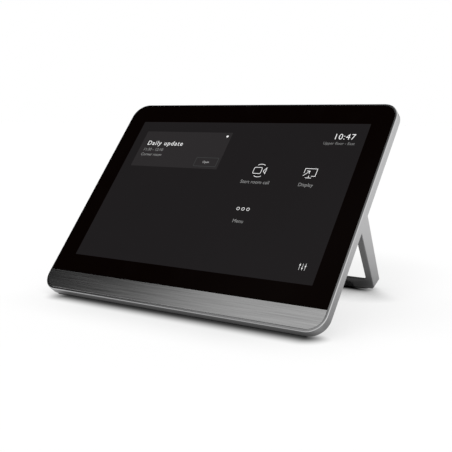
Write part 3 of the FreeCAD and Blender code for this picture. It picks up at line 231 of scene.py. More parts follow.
class GroundSizes(PropertyGroup):
    """The white floor, the shade painted on it, and what mirrored rays find of it, painted darker near the
    slab.
    Distances back are from the origin.
    """

    side: length("Side", "Side of the floor", 12000.0)
    white: number("White", "Level of the floor where nothing shades it", 1.01)
    shadow_share: share("Shadow share", "Share of the floor's white that the lamps' shade can take", 0.28)
    # Painted shadow along the slab's lower edge, and a faint painted shade around it
    edge_half: length("Edge half", "Half of the length of the shade along the slab's lower edge", 84.5)
    edge_middle: length("Edge middle", "Where the middle of that shade lies, to the right", 4.5)
    edge_place: length("Edge place", "Where that shade lies, to the back", -2.8)
    edge_shade: length("Edge shade", "How far that shade reaches", 16.0)
    edge_least: share("Edge least", "White that is left in its middle", 0.05)
    edge_back: number("Edge back", "How much more a distance to the back counts in it", 1.5)
    wide_reach: length("Wide reach", "How far a faint shade around it reaches", 50.0)
    wide_share: share("Wide share", "White that the faint shade takes", 0.16)
    wide_loss: share("Wide loss", "How much less it takes at the ends of the edge", 0.11)
    wide_start: length("Wide start", "Distance from the middle where it starts to take less", 40.0)
    wide_end: length("Wide end", "Distance from the middle where it takes the least", 100.0)
    # Painted shade by the stand, from how much open sky shows close over the floor
    foot_reach: length("Foot reach", "How near a thing over the floor is when it shades it", 35.0)
    foot_power: number("Foot power", "How fast the shade by the stand darkens as less sky shows", 3.5)
    foot_black: share("Foot black", "Share of open sky up to which that shade is black", 0.45)
    foot_plain: share("Foot plain", "Share of open sky from which nothing more darkens it", 0.75)
    foot_start: length("Foot start", "Distance back where that shade starts", 50.0)
    foot_full: length("Foot full", "Distance back from which it is full", 90.0)
    foot_slope: number("Foot slope", "How much a distance to the side counts as one to the back", 0.8)
    foot_fade: length("Foot fade", "Distance to the back and side where it starts to fade", 163.0)
    foot_end: length("Foot end", "Distance to the back and side where it has faded", 184.0)
    foot_loss: share("Foot loss", "Share of it that fades", 0.9)
    # Painted shade that makes the floor behind the slab a little dimmer
    rear_place: length("Rear place", "Distance back of the middle of the slightly dim floor", 150.0)
    rear_start: length("Rear start", "Distance from that middle where the floor starts to clear", 30.0)
    rear_end: length("Rear end", "Distance from that middle where the floor is clear", 120.0)
    rear_share: share("Rear share", "White that is lost there", 0.10)
    # Painted shade that only mirrored rays see
    mirror_front: share("Mirror front", "White that mirrored rays find in front of the slab", 0.6)
    mirror_from: length("Mirror from", "Distance back where the floor in front ends for them", -6.0)
    mirror_to: length("Mirror to", "Distance back where the floor behind starts for them", 4.0)
    mirror_place: length("Mirror place", "Distance back of the middle of what is dark for them", 10.0)
    mirror_reach: length("Mirror reach", "Distance from that middle where they find white", 460.0)
    mirror_base: share("Mirror base", "Level that they find at the least", 0.12)
    mirror_loss: share("Mirror loss", "Share of that level which is lost behind", 0.65)


class Wire:
    """A socket in a node tree. Arithmetic on wires adds Math nodes, and node() adds any other node."""

    def __init__(self, tree, socket=None):
        self.tree = tree
        self.socket = socket

    def node(self, kind, settings=None, inputs=None, output=0):
        """A new node: its settings are set first, then each input gets a value or a link."""
        made = self.tree.nodes.new(kind)
        for name, value in (settings or {}).items():
            setattr(made, name, value)
        for name, value in (inputs or {}).items():
            if isinstance(value, Wire):
                self.tree.links.new(value.socket, made.inputs[name])
            else:
                made.inputs[name].default_value = value
        return Wire(self.tree, made.outputs[output] if made.outputs else None)

    def maths(self, operation, first, second=0.0, third=0.0):
        return self.node("ShaderNodeMath", {"operation": operation}, {0: first, 1: second, 2: third})

    def __add__(self, other):
        return self.maths("ADD", self, other)

    def __sub__(self, other):
        return self.maths("SUBTRACT", self, other)

    def __rsub__(self, other):
        return self.maths("SUBTRACT", other, self)

    def __mul__(self, other):
        return self.maths("MULTIPLY", self, other)

    __radd__ = __add__
    __rmul__ = __mul__

    def rise(self, low, high):
        """A smooth step from 0 at low to 1 at high."""
        return self.node("ShaderNodeMapRange", {"interpolation_type": "SMOOTHSTEP"},
                         {"Value": self, "From Min": low, "From Max": high})

    def part(self, axis):
        """One coordinate of a place or direction: 0 to the right, 1 to the back and 2 up."""
        return self.node("ShaderNodeSeparateXYZ", None, {0: self}, output=axis)

    def blend(self, first, second):
        """A colour between two, by this wire as the factor."""
        return self.node("ShaderNodeMix", {"data_type": "RGBA"},
                         {0: self, 6: opaque(first), 7: opaque(second)}, output=2)


def opaque(value):
    """A colour with its alpha, or a wire as it is."""
    return value if isinstance(value, Wire) else (*value, 1.0)


class Finish:
    """A material under way: its wires, the coordinates on the piece and the surface shader at the end."""

    def __init__(self, name):
        self.material = bpy.data.materials.new(name)
        self.material.use_nodes = True
        self.material.node_tree.nodes.clear()
        self.root = Wire(self.material.node_tree)
        self.place = self.root.node("ShaderNodeTexCoord", output=3)

    def along(self, *stretch):
        """Places in the slab's own axes, divided by the length of a feature across, up and out."""
        return self.root.node("ShaderNodeMapping", {"vector_type": "TEXTURE"},
                              {"Vector": self.place, "Rotation": (TILT, 0.0, 0.0), "Scale": stretch})

    def even(self, size):
        """Places in the slab's own axes, divided by one length on all of them."""
        return self.along(size, size, size)

    def noise(self, place, detail=2.0):
        """Soft noise from 0 to 1 whose features are about one unit of the place wide."""
        return self.root.node("ShaderNodeTexNoise", None, {"Vector": place, "Scale": 1.0, "Detail": detail})

    def reach(self, axis):
        """The distance along an axis of the slab, in metres: 0 across, 1 up and 2 out."""
        return self.even(1.0).part(axis)

    def bump(self, height, depth):
        """A normal that follows a height from 0 to 1, whose full range is depth in metres."""
        return self.root.node("ShaderNodeBump", None, {"Height": height, "Distance": depth})

    def surface(self, inputs):
        """Ends the material with a surface shader."""
        shader = self.root.node("ShaderNodeBsdfPrincipled", None, inputs)
        self.root.node("ShaderNodeOutputMaterial", None, {"Surface": shader})
        return self.material


def dress(material, *names):
    """Gives CAD nodes a material in place of their plain one."""
    for name in names:
        for slot in frame["nodes"][name].material_slots:
            slot.material = material


def scaled(shade, factor):
    """A colour made lighter or darker."""
    return tuple(factor * channel for channel in shade)


def blasted(finish, shade, depth):
    """Base colour, roughness and normal of fine bead-blasted metal with slow drifts of tone."""
    grain = finish.noise(finish.even(0.16 * MM), 1.0)
    drift = finish.noise(finish.even(40 * MM))
    base = (0.7 * drift + 0.3 * grain).blend(scaled(shade, 0.93), scaled(shade, 1.06))
    rough = 0.33 + 0.08 * grain + 0.05 * drift
    return base, rough, finish.bump(grain, depth)


def anodised_frame(colours):
    """Satin anodised metal whose front edge, cut after anodising, is bright bare metal. The narrow rim in
    front of that cut is darkened with painted shade: lighter along the bottom, darkest beside the glass."""
    finish = Finish("anodised_frame")
    base, rough, normal = blasted(finish, colours.metal, 0.004 * MM)
    level = finish.reach(2)
    cut_high, cut_low, passing = GLASS_FACE - 0.12 * MM, GLASS_FACE - 0.48 * MM, 0.08 * MM
    front = level.rise(cut_high - passing, cut_high)
    cut = level.rise(cut_low - passing, cut_low) * (1 - front)
    streak = finish.noise(finish.along(6 * MM, 6 * MM, 0.02 * MM))
    bright = streak.blend(scaled(colours.edge, 0.9), scaled(colours.edge, 1.08))
    # Painted shade on the rim: darker than the metal, lighter along the bottom and darkest beside the glass
    height = finish.reach(1).rise(GLASS_LOW - 11 * MM, GLASS_LOW)
    shaded_rim = front.blend(base, height.blend(scaled(colours.metal, 0.55), scaled(colours.metal, 0.38)))
    return finish.surface({"Base Color": cut.blend(shaded_rim, bright), "Metallic": 1.0,
                           "Roughness": rough + (cut + front) * (0.18 - rough), "Normal": normal})


def anodised_stand(colours):
    """Satin anodised metal, without a cut edge."""
    finish = Finish("anodised_stand")
    base, rough, normal = blasted(finish, colours.metal, 0.004 * MM)
    return finish.surface({"Base Color": base, "Metallic": 1.0, "Roughness": rough, "Normal": normal})


def brushed_chin(colours):
    """Aluminium brushed across: long scratches, fine and coarse, in tone, gloss and height."""
    finish = Finish("brushed_chin")
    fine = finish.noise(finish.along(30 * MM, 0.09 * MM, 30 * MM), 3.0)
    coarse = finish.noise(finish.along(45 * MM, 0.7 * MM, 30 * MM), 3.0)
    scratch = 0.5 * fine + 0.5 * coarse
    base = scratch.rise(0.3, 0.7).blend(scaled(colours.chin, 0.8), scaled(colours.chin, 1.2))
    return finish.surface({"Base Color": base, "Metallic": 1.0, "Roughness": 0.125 + 0.10 * scratch,
                           "Normal": finish.bump(scratch, 0.0026 * MM)})


# Specular level of the glass and of the lit layers on it
GLASS_GLOSS = 0.01


def black_glass(colours):
    """Black-backed glass with the faint dull patches that fingers leave."""
    finish = Finish("black_glass")
    smudge = finish.noise(finish.along(22 * MM, 30 * MM, 22 * MM), 3.0).rise(0.5, 0.78)
    dust = finish.noise(finish.even(0.5 * MM), 1.0).rise(0.74, 0.8)
    base = (0.35 * dust + 0.05 * smudge).blend(colours.glass, (0.012, 0.012, 0.012))
    return finish.surface({"Base Color": base, "Roughness": 0.035 + 0.09 * smudge + 0.1 * dust,
                           "Specular IOR Level": GLASS_GLOSS})


def lit(name, shade):
    """A lit layer of the picture, slightly uneven as a backlight is, under the same gloss as the glass."""
    finish = Finish(name)
    drift = finish.noise(finish.even(45 * MM))
    glow = drift.blend(scaled(shade, 0.96), scaled(shade, 1.04))
    return finish.surface({"Base Color": (0.002, 0.002, 0.002, 1.0), "Roughness": 0.06 + 0.04 * drift,
                           "Specular IOR Level": GLASS_GLOSS,
                           "Emission Color": glow, "Emission Strength": 1.0})


def moulded(name, shade, rough, texture, depth):
    """Moulded plastic with an even spark-eroded texture and slow drifts of tone."""
    finish = Finish(name)
    pitted = finish.noise(finish.even(texture), 2.0)
    drift = finish.noise(finish.even(35 * MM))
    base = (0.5 * pitted + 0.5 * drift).blend(scaled(shade, 0.8), scaled(shade, 1.25))
    return finish.surface({"Base Color": base, "Roughness": rough + 0.1 * pitted - 0.08 * drift,
                           "Normal": finish.bump(pitted, depth)})


def soft_rubber(name, shade):
    """Matt rubber or foam: a fine skin with paler rubbed spots."""
    finish = Finish(name)
    skin = finish.noise(finish.even(0.25 * MM))
    rubbed = finish.noise(finish.even(9 * MM), 4.0).rise(0.52, 0.8)
    base = (0.3 * skin + 0.5 * rubbed).blend(shade, scaled(shade, 2.0))
    return finish.surface({"Base Color": base, "Roughness": 0.72 + 0.16 * skin - 0.1 * rubbed,
                           "Specular IOR Level": 0.3, "Normal": finish.bump(skin, 0.02 * MM)})


def drawn_steel(name, shade, rough):
    """Stamped or turned steel: fine drawing lines up the slab and cloudy plating."""
    finish = Finish(name)
    lines = finish.noise(finish.along(0.09 * MM, 12 * MM, 0.09 * MM))
    cloud = finish.noise(finish.even(5 * MM), 3.0)
    base = (0.45 * lines + 0.55 * cloud).blend(scaled(shade, 0.78), scaled(shade, 1.15))
    return finish.surface({"Base Color": base, "Metallic": 1.0, "Normal": finish.bump(lines, 0.006 * MM),
                           "Roughness": rough + 0.12 * lines + 0.06 * cloud})


def circuit_board(colours):
    """Solder mask over copper: straight tracks in blocks, with small plated vias."""
    finish = Finish("circuit_board")
    tracks = finish.root.node("ShaderNodeTexBrick", {"offset": 0.37, "squash": 1.0},
                              {"Vector": finish.even(1.1 * MM), "Scale": 1.0,
                               "Mortar Size": 0.14, "Brick Width": 4.0, "Row Height": 0.55}, output=1)
    vias = finish.root.node("ShaderNodeTexVoronoi", {"feature": "F1"},
                            {"Vector": finish.along(2.3 * MM, 2.3 * MM, 9 * MM), "Scale": 1.0})
    plated = 1 - vias.rise(0.10, 0.13)
    mask = tracks.blend(colours.copper, colours.board)
    return finish.surface({"Base Color": plated.blend(mask, colours.gold), "Metallic": plated,
                           "Roughness": 0.34 + 0.1 * tracks, "Normal": finish.bump(1 - tracks, 0.02 * MM)})


def flat_cable(colours):
    """Amber film over a row of copper conductors that run along the cable."""
    finish = Finish("flat_cable")
    wave = finish.root.node("ShaderNodeTexWave", {"bands_direction": "X"},
                            {"Vector": finish.even(1 * MM), "Scale": 0.32}, output=1)
    conductor = wave.rise(0.4, 0.6)
    base = conductor.blend(colours.film, (0.62, 0.36, 0.14))
    return finish.surface({"Base Color": base, "Roughness": 0.3 + 0.1 * conductor,
                           "Normal": finish.bump(conductor, 0.03 * MM)})


def plated_gold(colours):
    """Gold-plated spring wire."""
    finish = Finish("plated_gold")
    wear = finish.noise(finish.even(0.6 * MM), 3.0)
    base = wear.blend(colours.gold, scaled(colours.gold, 0.72))
    return finish.surface({"Base Color": base, "Metallic": 1.0, "Roughness": 0.2 + 0.18 * wear})


def layered_film(name, shade, rough):
    """An optical layer of the display: even film with a slow sheen."""
    finish = Finish(name)
    sheen = finish.noise(finish.along(30 * MM, 12 * MM, 30 * MM))
    base = sheen.blend(scaled(shade, 0.9), scaled(shade, 1.1))
    return finish.surface({"Base Color": base, "Roughness": rough + 0.06 * sheen})


def round_path(width, height, corner, steps=6):
    """A rounded rectangle about the middle, against the clock: four quarter arcs, one at each corner."""
    turns = np.arange(4)[:, None] * np.pi / 2 + np.linspace(0, np.pi / 2, steps)
    arcs = np.stack([np.cos(turns), np.sin(turns)], axis=-1) * corner
    signs = np.array([(1, 1), (-1, 1), (-1, -1), (1, -1)])
    centres = signs * (width / 2 - corner, height / 2 - corner)
    return (arcs + centres[:, None]).reshape(-1, 2)


def arc_path(radius, start, end, steps=17):
    """Points on a circle about the middle, between two angles in degrees."""
    turn = np.radians(np.linspace(start, end, steps))
    return radius * np.stack([np.cos(turn), np.sin(turn)], axis=-1)


def ring_path(radius, steps=28):
    """A whole circle about the middle, without its last point twice."""
    return arc_path(radius, 0, 360, steps + 1)[:-1]


def at_level(path, level):
    """Points of a path with their level out of the glass."""
    return np.column_stack([path, np.full(len(path), level)])


def sheet(path, low, high):
    """A flat sheet: a closed path at two levels, a wall between them and a face at each end."""
    count = len(path)
    here = np.arange(count)
    beside = (here + 1) % count
    wall = np.stack([here, here + count, beside + count, beside], axis=-1)
    points = np.concatenate([at_level(path, high), at_level(path, low)])
    return points, [*wall.tolist(), here.tolist(), (count + here[::-1]).tolist()]


def bar(path, width, low, high, closed=False):
    """A flat bar carried along a path: each point moves half the width along its mitre to the left and to
    the right, at two levels. The mitre is the sum of the left normals of the two runs that meet there,
    divided by one plus their product."""
    path = np.asarray(path, float)
    ahead = np.roll(path, -1, axis=0) - path
    if not closed:
        ahead[-1] = ahead[-2]
    ahead /= np.linalg.norm(ahead, axis=1, keepdims=True)
    left = ahead[:, ::-1] * (-1, 1)
    before = np.roll(left, 1, axis=0)
    if not closed:
        before[0] = left[0]
    mitre = (left + before) / (1 + (left * before).sum(axis=1, keepdims=True)) * width / 2
    rings = np.stack([at_level(path + mitre, high), at_level(path - mitre, high),
                      at_level(path - mitre, low), at_level(path + mitre, low)], axis=1)
    sides = rings.shape[1]
    count = len(path)
    here, side = np.mgrid[0:count if closed else count - 1, 0:sides]
    beside, after = (side + 1) % sides, (here + 1) % count
    corners = [here * sides + side, here * sides + beside, after * sides + beside, after * sides + side]
    faces = np.stack(corners, axis=-1).reshape(-1, sides).tolist()
    if not closed:
        faces += [list(range(sides))[::-1], list(range((count - 1) * sides, count * sides))]
    return rings.reshape(-1, CHANNELS), faces


def shifted(shape, across, up):
    """A shape moved in the plane of the glass."""
    points, faces = shape
    return points + (across, up, 0.0), faces


def together(*shapes):
    """Several shapes as one."""
    starts = np.cumsum([0] + [len(points) for points, _ in shapes])
    faces = [[start + corner for corner in face]
             for start, (_, rows) in zip(starts, shapes) for face in rows]
    return np.concatenate([points for points, _ in shapes]), faces


# Steps on each curve of a letter, and the distance up to which two of its points are one
LETTER_STEPS = 4
WELD = 0.001 * MM


def lettering(text, size, low, high, weight=0.0, align="LEFT", spacing=1.0):
    """A short text as a flat shape: the outlines of its letters, filled and given a wall between two
    levels. The weight moves the outlines out, in letter sizes. The spacing widens the letters' places."""
    curve = bpy.data.curves.new("lettering", "FONT")
    curve.body = text
    curve.size = size
    curve.offset = weight * size
    curve.extrude = (high - low) / 2
    curve.align_x = align
    curve.space_character = spacing
    curve.resolution_u = LETTER_STEPS
    holder = bpy.data.objects.new("lettering", curve)
    mesh = bpy.data.meshes.new_from_object(holder)
    shell = bmesh.new()
    shell.from_mesh(mesh)
    bmesh.ops.remove_doubles(shell, verts=shell.verts, dist=WELD)
    points = np.array([vertex.co for vertex in shell.verts])
    faces = [[vertex.index for vertex in face.verts] for face in shell.faces]
    shell.free()
    bpy.data.objects.remove(holder)
    bpy.data.curves.remove(curve)
    bpy.data.meshes.remove(mesh)
    return points + (0.0, 0.0, (low + high) / 2), faces


def picture_box(screen):
    """The picture area's left and lower edge on the slab's axes, its width and its height."""
    left, low = GLASS_LEFT + screen.side_border, GLASS_LOW + screen.low_border
    return left, low, GLASS_RIGHT - screen.side_border - left, GLASS_HIGH - screen.top_border - low


def on_picture(screen, points):
    """Points given from the picture's lower left corner and the glass, in the part's own frame."""
    left, low, _, _ = picture_box(screen)
    return (points + (left, low, GLASS_FACE)) @ np.stack([ACROSS, UP, OUT])


def add_piece(name, points, faces, material, body="console"):
    """A mesh object with its place in its points, which rides on a CAD body."""
    mesh = bpy.data.meshes.new(name)
    mesh.from_pydata(points.tolist(), [], faces)
    mesh.materials.append(material)
    piece = bpy.data.objects.new(name, mesh)
    bpy.context.scene.collection.objects.link(piece)
    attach(piece, body)
    return piece


def add_lit(context, name, shape, shade):
    """A lit shape of the picture, laid on the glass."""
    points, faces = shape
    material = bpy.data.materials.get(f"lit_{shade}")
    if material is None:
        material = lit(f"lit_{shade}", getattr(context.scene.console_colours, shade))
    return add_piece(name, on_picture(context.scene.console_screen, points), faces, material)


class CONSOLE_OT_metal(Operator):
    """Finishes the frame, the chin and the stand"""

    bl_idname = "console.metal"
    bl_label = "Metal"

    def execute(self, context):
        colours = context.scene.console_colours
        dress(anodised_frame(colours), "front_frame")
        dress(anodised_stand(colours), "stand_frame")
        dress(brushed_chin(colours), "chin_trim")
        return {"FINISHED"}


class CONSOLE_OT_display(Operator):
    """Finishes the glass and the layers behind it"""

    bl_idname = "console.display"
    bl_label = "Display layers"

    def execute(self, context):
        colours = context.scene.console_colours
        dress(black_glass(colours), "cover_glass")
        dress(layered_film("touch_film", (0.05, 0.055, 0.06), 0.2), "touch_sensor")
        dress(layered_film("crystal_cell", (0.012, 0.012, 0.018), 0.12), "lcd_panel")
        dress(layered_film("light_guide", (0.72, 0.73, 0.75), 0.5), "backlight")
        dress(soft_rubber("black_tape", scaled(colours.rubber, 0.8)), "glass_tape")
        dress(soft_rubber("grey_foam", scaled(colours.rubber, 2.6)), "display_cushion", "speaker_gasket")
        return {"FINISHED"}


class CONSOLE_OT_shell(Operator):
    """Finishes the moulded back, its grille and its button"""

    bl_idname = "console.shell"
    bl_label = "Back"

    def execute(self, context):
        colours = context.scene.console_colours
        dress(moulded("textured_shell", colours.shell, 0.52, 0.45 * MM, 0.03 * MM),
              "rear_panel", "rear_housing")
        dress(moulded("painted_grille", scaled(colours.shell, 0.8), 0.36, 0.2 * MM, 0.008 * MM),
              "speaker_grille")
        dress(moulded("grey_button", scaled(colours.shell, 3.4), 0.42, 0.3 * MM, 0.01 * MM), "reset_button")
        return {"FINISHED"}


class CONSOLE_OT_rubber(Operator):
    """Finishes the feet and the pads"""

    bl_idname = "console.rubber"
    bl_label = "Rubber"

    def execute(self, context):
        colours = context.scene.console_colours
        dress(soft_rubber("foot_rubber", colours.rubber), "stand_foot", "rest_pads")
        # Painted light: the strip wears a lighter copy of the feet's rubber, so that it shows less dark in
        # the shade under the slab
        dress(soft_rubber("strip_rubber", scaled(colours.rubber, 2.5)), "front_foot")
        # Painted light: the bumper wears a lighter copy of the feet's rubber, so that it shows less dark
        # where it faces the floor
        dress(soft_rubber("bumper_rubber", scaled(colours.rubber, 4.0)), "stand_bumper")
        dress(soft_rubber("heat_pad", (0.30, 0.33, 0.38)), "thermal_pad")
        return {"FINISHED"}


class CONSOLE_OT_steel(Operator):
    """Finishes the chassis, the hinges and the screws"""

    bl_idname = "console.steel"
    bl_label = "Steel"

    def execute(self, context):
        colours = context.scene.console_colours
        sides = ("left", "right")
        hinge = [f"hinge_{piece}_{side}" for piece in ("bracket", "springs", "nut") for side in sides]
        dress(drawn_steel("plated_steel", colours.steel, 0.3),
              "chassis_plate", "chassis_pillars", "shield_can", "lock_plate", *hinge)
        dress(drawn_steel("bright_steel", scaled(colours.steel, 1.15), 0.2), "usb_jack",
              *[f"hinge_pin_{side}" for side in sides])
        dress(drawn_steel("black_screws", colours.black_steel, 0.34), "board_screws", "housing_screws",
              "hinge_screws")
        return {"FINISHED"}


class CONSOLE_OT_electronics(Operator):
    """Finishes the board, what is soldered to it, the sockets and the cables"""

    bl_idname = "console.electronics"
    bl_label = "Electronics"

    def execute(self, context):
        colours = context.scene.console_colours
        dress(circuit_board(colours), "main_board")
        dress(moulded("chip_resin", colours.resin, 0.5, 0.12 * MM, 0.006 * MM), "processor", "memory_chips",
              "power_inductors", "network_transformer", "reset_switch", "speaker")
        dress(moulded("socket_plastic", scaled(colours.resin, 0.9), 0.3, 0.2 * MM, 0.006 * MM),
              "ethernet_jack")
        dress(moulded("plug_plastic", (0.62, 0.60, 0.54), 0.4, 0.2 * MM, 0.006 * MM), "cable_connectors")
        dress(drawn_steel("can_metal", scaled(colours.steel, 1.3), 0.24), "capacitors")
        dress(plated_gold(colours), "jack_contacts")
        dress(flat_cable(colours), "display_cable", "touch_cable")
        return {"FINISHED"}


class CONSOLE_OT_picture(Operator):
    """Lays the lit ground of the picture on the glass"""

    bl_idname = "console.picture"
    bl_label = "Picture"

    def execute(self, context):
        screen = context.scene.console_screen
        _, _, width, height = picture_box(screen)
        ground = sheet(round_path(width, height, screen.corner), 0.0, screen.layer)
        add_lit(context, "screen_picture", shifted(ground, width / 2, height / 2), "picture")
        return {"FINISHED"}


class CONSOLE_OT_card(Operator):
    """Lays the card with the next appointment on the picture"""

    bl_idname = "console.card"
    bl_label = "Card"

    def execute(self, context):
        card, layer = context.scene.console_card, context.scene.console_screen.layer
        middle_across, middle_up = card.left + card.width / 2, card.low + card.height / 2
        ground = sheet(round_path(card.width, card.height, card.corner), layer, 2 * layer)
        add_lit(context, "card_ground", shifted(ground, middle_across, middle_up), "card")
        levels = (2 * layer, 3 * layer)
        title = lettering(card.title, card.title_size, *levels, spacing=card.title_spacing)
        title = shifted(title, card.left + card.title_inset, card.low + card.title_rise)
        add_lit(context, "card_title", title, "white")
        for name, text, rise in (("card_times", card.times, card.times_rise),
                                 ("card_place", card.place, card.place_rise)):
            line = lettering(text, card.text_size, *levels)
            add_lit(context, name, shifted(line, card.left + card.inset, card.low + rise), "grey")
        across = card.left + card.width - card.button_margin - card.button_width / 2
        up = card.low + card.button_margin + card.button_height / 2
        path = round_path(card.button_width, card.button_height, card.corner)
        button = bar(path, card.frame_line, *levels, closed=True)
        add_lit(context, "card_button", shifted(button, across, up), "outline")
        action = lettering(card.action, card.button_text, *levels, card.button_weight, "CENTER")
        add_lit(context, "card_action", shifted(action, across, up - card.button_text / 3), "pale")
        dot = sheet(ring_path(card.dot), *levels)
        across, up = card.left + card.width - card.dot_inset, card.low + card.height - card.dot_inset
        add_lit(context, "card_dot", shifted(dot, across, up), "white")
        return {"FINISHED"}


class CONSOLE_OT_clock(Operator):
    """Lays the clock and the line under it on the picture"""

    bl_idname = "console.clock"
    bl_label = "Clock"

    def execute(self, context):
        clock, screen = context.scene.console_clock, context.scene.console_screen
        _, _, width, height = picture_box(screen)
        levels = (screen.layer, 2 * screen.layer)
        time = lettering(clock.clock, clock.clock_size, *levels, clock.weight, "RIGHT", clock.spacing)
        time = shifted(time, width - clock.clock_right, height - clock.clock_drop)
        add_lit(context, "clock_time", time, "white")
        room = lettering(clock.room, clock.room_size, *levels, align="RIGHT")
        room = shifted(room, width - clock.room_right, height - clock.room_drop)
        add_lit(context, "clock_room", room, "dim")
        return {"FINISHED"}


# Sizes in the icons: the rings' and rails' width and the knobs' radius as shares of the icons' line, the
# knobs' thickness as a share of a layer, and how far up its rail each knob sits
RING_LINE = 0.85
RAIL_LINE = 0.5
KNOB_RADIUS = 1.2
KNOB_LAYERS = 1.2
KNOB_PLACES = (0.75, 0.27, 0.6)


def call_icon(line, levels):
    """A camera between two arcs: a rounded body, a three-cornered lens and an arc over and under them."""
    body = bar(round_path(5.6 * MM, 4.5 * MM, 0.8 * MM), line, *levels, closed=True)
    lens = bar(np.array([(2.7, -0.2), (4.5, -2.1), (4.5, 2.1)]) * MM, line, *levels, closed=True)
    arcs = [bar(arc_path(4.7 * MM, start, start + 66), line, *levels) for start in (57, 237)]
    return together(shifted(body, -1.5 * MM, 0.0), lens, *arcs)


def share_icon(line, levels):
    """A screen that an arrow enters from its open lower left corner, on a foot."""
    frame_path = np.array([(-4.0, -0.3), (-4.0, 3.0), (4.0, 3.0), (4.0, -2.3), (1.4, -2.3)]) * MM
    shaft = np.array([(-4.1, -2.2), (-0.6, 1.2)]) * MM
    head = np.array([(-2.5, 1.3), (-0.5, 1.3), (-0.5, -0.7)]) * MM
    foot = np.array([(-2.2, -3.6), (1.8, -3.6)]) * MM
    neck = np.array([(-0.2, -3.4), (-0.2, -2.0)]) * MM
    return together(*[bar(path, line, *levels) for path in (frame_path, shaft, head, foot, neck)])


def menu_icon(tiles, line, levels):
    """Three rings in a row."""
    ring = bar(ring_path(tiles.ring), RING_LINE * line, *levels, closed=True)
    return together(*[shifted(ring, step * tiles.ring_pitch, 0.0) for step in (-1, 0, 1)])


def sliders_icon(tiles, line, levels):
    """Three upright lines, each with a round knob at its own height that stands a little proud."""
    low, high = levels
    rail = bar(np.array([(0.0, 0.0), (0.0, tiles.sliders_height)]), RAIL_LINE * line, low, high)
    knob = sheet(ring_path(KNOB_RADIUS * line), low, low + KNOB_LAYERS * (high - low))
    shapes = []
    for step, place in enumerate(KNOB_PLACES):
        across = step * tiles.sliders_pitch
        shapes += [shifted(rail, across, 0.0), shifted(knob, across, place * tiles.sliders_height)]
    return together(*shapes)


class CONSOLE_OT_tiles(Operator):
    """Lays the three tiles and the settings mark on the picture"""

    bl_idname = "console.tiles"
    bl_label = "Tiles"

    def execute(self, context):
        tiles, screen = context.scene.console_tiles, context.scene.console_screen
        levels, line = (screen.layer, 2 * screen.layer), screen.line
        rows = (("call", call_icon(line, levels), tiles.first_column, tiles.upper_row),
                ("share", share_icon(line, levels), tiles.second_column, tiles.upper_row),
                ("menu", menu_icon(tiles, line, levels), tiles.first_column, tiles.lower_row))
        for name, icon, across, up in rows:
            add_lit(context, f"tile_{name}_icon", shifted(icon, across, up), "white")
            label = lettering(getattr(tiles, name), tiles.label_size, *levels, align="CENTER")
            add_lit(context, f"tile_{name}_label", shifted(label, across, up - tiles.label_drop), "grey")
        mark = sliders_icon(tiles, line, levels)
        add_lit(context, "settings_icon", shifted(mark, tiles.sliders_left, tiles.sliders_low), "white")
        return {"FINISHED"}


class CONSOLE_OT_studio(Operator):
    """Sets up the floor, the light and the camera"""

    bl_idname = "console.studio"
    bl_label = "Studio"

    def execute(self, context):
        studio, scene = context.scene.console_studio, context.scene
        scene.view_settings.view_transform = "Standard"
        add_floor(scene.console_ground)
        light_world(scene, studio)
        lamp = bpy.data.lights.new("soft_lamp", "SUN")
        lamp.energy = math.pi * studio.lamp_share
        lamp.angle = studio.lamp_spread
        holder = bpy.data.objects.new("soft_lamp", lamp)
        holder.visible_glossy = False
        scene.collection.objects.link(holder)
        camera = bpy.data.cameras.new("camera")
        camera.lens = studio.camera_lens
        camera.shift_x, camera.shift_y = studio.camera_shift
        stand = bpy.data.objects.new("camera", camera)
        stand.location = studio.camera_place
        stand.rotation_euler = studio.camera_turn
        scene.collection.objects.link(stand)
        scene.camera = stand
        return {"FINISHED"}


# Rays that the floor sends out to find what stands over it
SHADE_SAMPLES = 32


def ray_kinds(root):
    """Three wires, each 1 for one kind of ray: seen first, mirrored, or passed through a clear thing."""
    names = ("Is Camera Ray", "Is Glossy Ray", "Is Transmission Ray")
    return [root.node("ShaderNodeLightPath", output=name) for name in names]


def distance_on(place, back):
    """The distance of a place on the floor from a point behind the origin."""
    return place.node("ShaderNodeVectorMath", {"operation": "DISTANCE"},
                      {0: place, 1: (0.0, back, 0.0)}, output=1)


def painted_edge_shadow(root, ground, across, along):
    """Painted shadow on the floor by the slab's lower edge: its white rises smoothly with the distance from a
    line on the floor, and less steeply in a faint painted shade around it, which is fainter at the ends of
    the line."""
    aside = root.maths("ABSOLUTE", across - ground.edge_middle)
    beside = root.maths("MAXIMUM", aside - ground.edge_half, 0.0)
    behind = along - ground.edge_place
    before = root.maths("MAXIMUM", -1.0 * behind, ground.edge_back * behind)
    beyond = root.maths("SQRT", beside * beside + before * before)
    taken = ground.wide_share - ground.wide_loss * aside.rise(ground.wide_start, ground.wide_end)
    wide = taken * (1 - beyond.rise(0.0, ground.wide_reach))
    narrow = ground.edge_least + (1 - ground.edge_least) * beyond.rise(0.0, ground.edge_shade)
    return narrow * (1 - wide)


def painted_foot_shade(root, ground, across, along):
    """Painted shade on the floor by the stand: its white is a power of the share of open sky that shows close
    over it. The painted shade starts some way back, so that the slab casts none, and fades to the sides and
    behind the stand."""
    sky = root.node("ShaderNodeAmbientOcclusion", {"samples": SHADE_SAMPLES},
                    {"Distance": ground.foot_reach}, output=1)
    light = root.maths("POWER", sky, ground.foot_power) * sky.rise(ground.foot_black, ground.foot_plain)
    outside = along + ground.foot_slope * root.maths("ABSOLUTE", across)
    faded = ground.foot_loss * outside.rise(ground.foot_fade, ground.foot_end)
    return 1 - along.rise(ground.foot_start, ground.foot_full) * (1 - faded) * (1 - light)


